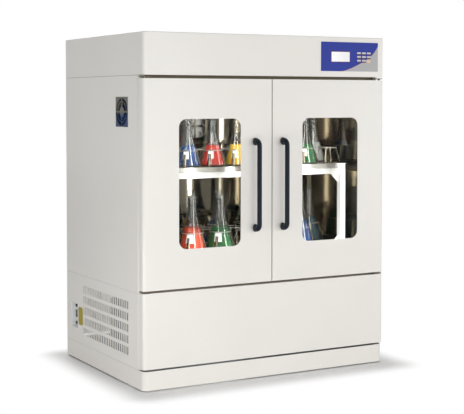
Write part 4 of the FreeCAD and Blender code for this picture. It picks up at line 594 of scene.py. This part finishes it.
def clamp_mesh(mesh, tier, centre):
    """Base plate, springy fingers with turned out tips, and the screws."""
    radius, height = tier["radius"], tier["height"]
    wide = radius + PLAY
    knee = height * CLAMP_KNEE_SHARE
    top = height * CLAMP_HEIGHT_SHARE
    narrow = wide - (top - SHEET) * cone_slope(tier)
    run = [
        (radius * 0.30, 0.0008, 0.011),
        (radius * 0.62, 0.0008, 0.0085),
        (wide - 0.006, 0.0008, 0.008),
        (wide - 0.0012, 0.0030, 0.008),
        (wide, 0.0080, 0.008),
        (wide, knee, 0.0078),
        ((wide * 2 + narrow) / 3, knee + (top - knee) / 3, 0.0068),
        ((wide + narrow * 2) / 3, knee + (top - knee) * 2 / 3, 0.0064),
        (narrow, top - 0.007, 0.0062),
        (narrow + 0.0012, top - 0.003, 0.0060),
        (narrow + 0.0040, top, 0.0045),
    ]
    thick = FINGER_HALF_THICKNESS
    for finger in range(FINGERS):
        turn = CLAMP_TURN + math.pi / 2 * finger
        out = Vector((math.cos(turn), math.sin(turn), 0))
        side = Vector((-math.sin(turn), math.cos(turn), 0))
        points = [Vector(centre) + out * r + Vector((0, 0, z)) for r, z, _ in run]
        sections = [
            (side, ((-w, -thick), (w, -thick), (w, thick), (-w, thick))) for _, _, w in run
        ]
        sweep(mesh, points, sections)
    rim = radius * PLATE_SHARE
    plate = ((0, 0.0021), (rim - 0.001, 0.0021), (rim, 0.0012), (rim, 0.0003), (0, 0.0003))
    lathe(mesh, plate, centre, 20)
    for screw in range(CLAMP_SCREWS):
        turn = math.pi * 2 * screw / CLAMP_SCREWS + 0.5
        place = (
            centre[0] + radius * SCREW_RING_SHARE * math.cos(turn),
            centre[1] + radius * SCREW_RING_SHARE * math.sin(turn),
            centre[2] + 0.002,
        )
        lathe(mesh, ((0, 0.0026), (0.0028, 0.0022), (0.0040, 0.0008), (0.0040, 0)), place, 10)


def spring_ring(mesh, tier, centre):
    """The coil spring that ties the fingers, drawn as a closed ribbed ring."""
    level = tier["height"] * CLAMP_HEIGHT_SHARE - 0.004
    ring = tier["radius"] + PLAY * 2 - level * cone_slope(tier)
    points, sections = [], []
    for step in range(SPRING_STEPS):
        turn = 2 * math.pi * step / SPRING_STEPS
        swell = WIRE_RADIUS + WIRE_RIPPLE * math.cos(turn * SPRING_COILS)
        sideways = Vector((math.cos(turn), math.sin(turn), 0))
        points.append(Vector(centre) + sideways * ring + Vector((0, 0, level)))
        sections.append((sideways, ellipse(swell, swell, 6)))
    sweep(mesh, points, sections, closed=True)


def flask_profile(tier):
    """The outside of a conical flask and the inside, each as (radius, height) pairs."""
    radius, height = tier["radius"], tier["height"]
    cone = height * CONE_SHARE
    neck = radius * NECK_SHARE
    outer = [(0, 0.002), (radius * 0.55, 0.0008), (radius - 0.010, 0.0), (radius - 0.004, 0.0012)]
    outer += [(radius - 0.0012, 0.0045), (radius - 0.0005, 0.009)]
    for share in (0.12, 0.3, 0.5, 0.7, 0.88):
        outer.append((radius + (neck - radius) * share, cone * share + 0.004 * (1 - share)))
    outer += [(neck * 1.06, cone * 0.985), (neck * 1.0, cone * 1.05), (neck, height - 0.012)]
    outer += [(neck, height - 0.006), (neck + 0.0030, height - 0.0045)]
    outer += [(neck + 0.0034, height - 0.0020), (neck + 0.0024, height)]
    outer += [(neck - 0.0005, height - 0.0008)]
    inner = [(r - GLASS_WALL, z + GLASS_WALL * 0.6) for r, z in reversed(outer[3:14])]
    inner += [(radius - 0.012, 0.0022), (0, 0.0036)]
    return outer, inner


def liquid_profile(tier, level):
    """The body of liquid inside a flask, with a slightly hollow surface."""
    radius = tier["radius"]
    outer, _ = flask_profile(tier)
    inside = [(max(r - FILL_GAP, 0), z + 0.0018) for r, z in outer[:11]]
    kept = [(0, 0.0040), (radius - 0.012, 0.0030)] + [p for p in inside[4:] if p[1] < level]
    edge = radius - level * cone_slope(tier) - FILL_GAP
    kept += [(edge, level), (edge - 0.0015, level - 0.0010)]
    kept += [(edge * 0.6, level - 0.0013), (0, level - 0.0013)]
    return kept


def blank_card(mesh, tier, centre):
    """A blank white card on the upper half of the finger that faces the door."""
    wide, tall = tier["card"]
    top = tier["height"] * CLAMP_HEIGHT_SHARE - 0.007
    half = wide / 2 / tier["radius"]
    grid = []
    for up in range(CARD_ROWS + 1):
        height = top - tall * (1 - up / CARD_ROWS)
        reach = tier["radius"] + PLAY + SHEET * 1.2 - height * cone_slope(tier)
        ring = []
        for across in range(CARD_COLUMNS + 1):
            turn = CARD_FACING + half * (2 * across / CARD_COLUMNS - 1)
            place = (
                centre[0] + reach * math.cos(turn),
                centre[1] + reach * math.sin(turn),
                centre[2] + height,
            )
            ring.append(mesh.verts.new(place))
        grid.append(ring)
    for lower, upper in zip(grid, grid[1:]):
        for across in range(CARD_COLUMNS):
            mesh.faces.new((lower[across], lower[across + 1], upper[across + 1], upper[across]))


clamps, springs, glassware, patches = bmesh.new(), bmesh.new(), bmesh.new(), bmesh.new()
fills = {}
for tier in TIERS:
    for row in range(len(tier["clamps"])):
        for column in tier["clamps"][row]:
            centre = spot(tier, row, column)
            clamp_mesh(clamps, tier, centre)
            spring_ring(springs, tier, centre)
        for column, color in tier["flasks"][row].items():
            x, y, z = spot(tier, row, column)
            centre = (x, y, z + FLASK_LIFT)
            outer, inner = flask_profile(tier)
            lathe(glassware, outer + inner, centre, FLASK_SEGMENTS)
            level = tier["height"] * (FILL_SHARE + FILL_SPREAD * math.sin(3 * column + row))
            if color not in fills:
                fills[color] = bmesh.new()
            lathe(fills[color], liquid_profile(tier, level), centre, FLASK_SEGMENTS)
            blank_card(patches, tier, (x, y, z))

# The clamp fingers take the mirror steel, whose dark olive tone is painted shade
steel_slot = "mirror_stainless"
clamp_piece = finish_mesh("clamp_fingers", clamps, MATERIALS[steel_slot], "platform")
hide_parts("flask_clamps")
finish_mesh("clamp_springs", springs, MATERIALS["zinc_steel"], "platform")
glass_piece = finish_mesh("flask_walls", glassware, GLASS, "platform")
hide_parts("flasks")
for color, mesh in fills.items():
    finish_mesh(f"flask_fill_{color}", mesh, LIQUIDS[color], "platform")
patch_piece = finish_mesh("flask_patches", patches, PATCH, "platform")
body = patch_piece.modifiers.new("body", "SOLIDIFY")
body.thickness = CARD_THICKNESS


# Camera at the photograph's viewing angle

YAW, PITCH = math.radians(29.135), math.radians(2.439)
camera_data = bpy.data.cameras.new("camera")
camera_data.sensor_width = 36
camera_data.lens = 92.68
camera_data.shift_y = -0.1208
camera_data.clip_end = 60
camera = bpy.data.objects.new("camera", camera_data)
scene.collection.objects.link(camera)
camera.location = (-2.6824, -4.8757, 1.2162)
level = math.cos(PITCH)
forward = Vector((math.sin(YAW) * level, math.cos(YAW) * level, -math.sin(PITCH)))
camera.rotation_euler = forward.to_track_quat("-Z", "Y").to_euler()
scene.camera = camera


# Studio: pale floor, soft lamps, white background

FLOOR_RADIUS = 14.0
SHADOW_REACH = 0.16

floor_mesh = bmesh.new()
bmesh.ops.create_circle(floor_mesh, cap_ends=True, segments=96, radius=FLOOR_RADIUS)
floor_data = bpy.data.meshes.new("floor")
floor_mesh.to_mesh(floor_data)
floor_mesh.free()
floor = bpy.data.objects.new("floor", floor_data)
scene.collection.objects.link(floor)


def floor_material():
    """Pale ground that keeps the object's shadow and fades to plain white further out."""
    item = material("floor_pale", (0.86, 0.86, 0.86), 0.7)
    shader = shader_of(item)
    vary_color(item, noise(item, object_coords(item), 0.6), (0.85, 0.85, 0.85), (0.87, 0.87, 0.87))
    white = add(item, "ShaderNodeEmission")
    coords = add(item, "ShaderNodeTexCoord")
    half = [max(abs(CAD_BOX[0][axis]), abs(CAD_BOX[1][axis])) for axis in (0, 1)]
    away = add(item, "ShaderNodeVectorMath", operation="ABSOLUTE")
    link(item, coords.outputs["Object"], away.inputs[0])
    past = add(item, "ShaderNodeVectorMath", operation="SUBTRACT")
    past.inputs[1].default_value = (*half, 0)
    link(item, away.outputs["Vector"], past.inputs[0])
    clipped = add(item, "ShaderNodeVectorMath", operation="MAXIMUM")
    clipped.inputs[1].default_value = (0, 0, 0)
    link(item, past.outputs["Vector"], clipped.inputs[0])
    reach = add(item, "ShaderNodeVectorMath", operation="LENGTH")
    link(item, clipped.outputs["Vector"], reach.inputs[0])
    fade = add(item, "ShaderNodeMapRange", interpolation_type="SMOOTHSTEP")
    fade.inputs["From Min"].default_value = 0.0
    fade.inputs["From Max"].default_value = SHADOW_REACH
    link(item, reach.outputs["Value"], fade.inputs["Value"])
    path = add(item, "ShaderNodeLightPath")
    share = add(item, "ShaderNodeMath", operation="MULTIPLY")
    link(item, path.outputs["Is Camera Ray"], share.inputs[0])
    link(item, fade.outputs["Result"], share.inputs[1])
    mix = add(item, "ShaderNodeMixShader")
    link(item, share.outputs["Value"], mix.inputs["Fac"])
    link(item, shader.outputs["BSDF"], mix.inputs[1])
    link(item, white.outputs["Emission"], mix.inputs[2])
    link(item, mix.outputs["Shader"], item.node_tree.nodes["Material Output"].inputs["Surface"])
    return item


floor_data.materials.append(floor_material())


def lamp(name, place, target, size, watts):
    """A white area lamp at a place, turned to its target and unseen by the camera."""
    data = bpy.data.lights.new(name, "AREA")
    data.shape = "RECTANGLE"
    data.size, data.size_y = size
    data.energy = watts
    item = bpy.data.objects.new(name, data)
    scene.collection.objects.link(item)
    item.location = place
    aim = Vector(target) - Vector(place)
    item.rotation_euler = aim.to_track_quat("-Z", "Y").to_euler()
    item.visible_camera = False


lamp("key", (0.5, -5.2, 1.5), (0, 0, 0.6), (3.2, 2.4), 64)
lamp("left", (-2.6, -1.3, 0.40), (-0.6, 0, 0.25), (1.2, 0.7), 8.5)
lamp("right", (3.2, -3.0, 0.9), (0.3, -0.4, 0.7), (1.6, 1.6), 22)
lamp("top", (0.0, -0.6, 4.4), (0, 0, 0.6), (3.0, 3.0), 2)
lamp("back", (1.2, 4.2, 2.8), (0, 0, 0.8), (2.6, 2.2), 50)
lamp("low_left", (-1.9, -0.9, 0.24), (-0.6, 0, 0.10), (1.4, 0.3), 4.2)
lamp("low_front", (-0.5, -2.2, 0.24), (0, -0.4, 0.20), (1.2, 0.3), 4.8)
lamp("chamber_top", (0.0, -0.335, 1.19), (0, -0.02, 0.75), (1.0, 0.09), 2.1)
lamp("chamber_foot", (0.0, -0.335, 0.50), (0, -0.05, 0.85), (1.0, 0.07), 1.4)
for number, x in enumerate((-0.50, -0.30, -0.10, 0.10, 0.30, 0.50)):
    lamp(f"chamber_strip_{number}", (x, -0.338, 0.86), (x, 0, 0.86), (0.022, 0.60), 0.44)
lamp("machine_room", (-0.10, -0.15, 0.22), (-0.6, -0.15, 0.22), (0.5, 0.14), 2.5)

# The world lights the object softly and looks plain white to the camera, metal and glass
WORLD_LIGHT = 0.38
SEEN_WHITE = 1.0
world = bpy.data.worlds.new("studio")
scene.world = world
world.use_nodes = True
tree = world.node_tree
background = tree.nodes["Background"]
background.inputs["Color"].default_value = (1, 1, 1, 1)
background.inputs["Strength"].default_value = WORLD_LIGHT
seen = tree.nodes.new("ShaderNodeBackground")
seen.inputs["Color"].default_value = (1, 1, 1, 1)
seen.inputs["Strength"].default_value = SEEN_WHITE
path = tree.nodes.new("ShaderNodeLightPath")
share = path.outputs["Is Camera Ray"]
for ray in ("Is Glossy Ray", "Is Transmission Ray"):
    either = tree.nodes.new("ShaderNodeMath")
    either.operation = "MAXIMUM"
    tree.links.new(share, either.inputs[0])
    tree.links.new(path.outputs[ray], either.inputs[1])
    share = either.outputs["Value"]
mix = tree.nodes.new("ShaderNodeMixShader")
tree.links.new(share, mix.inputs["Fac"])
tree.links.new(background.outputs["Background"], mix.inputs[1])
tree.links.new(seen.outputs["Background"], mix.inputs[2])
tree.links.new(mix.outputs["Shader"], tree.nodes["World Output"].inputs["Surface"])

scene.view_settings.view_transform = "Standard"
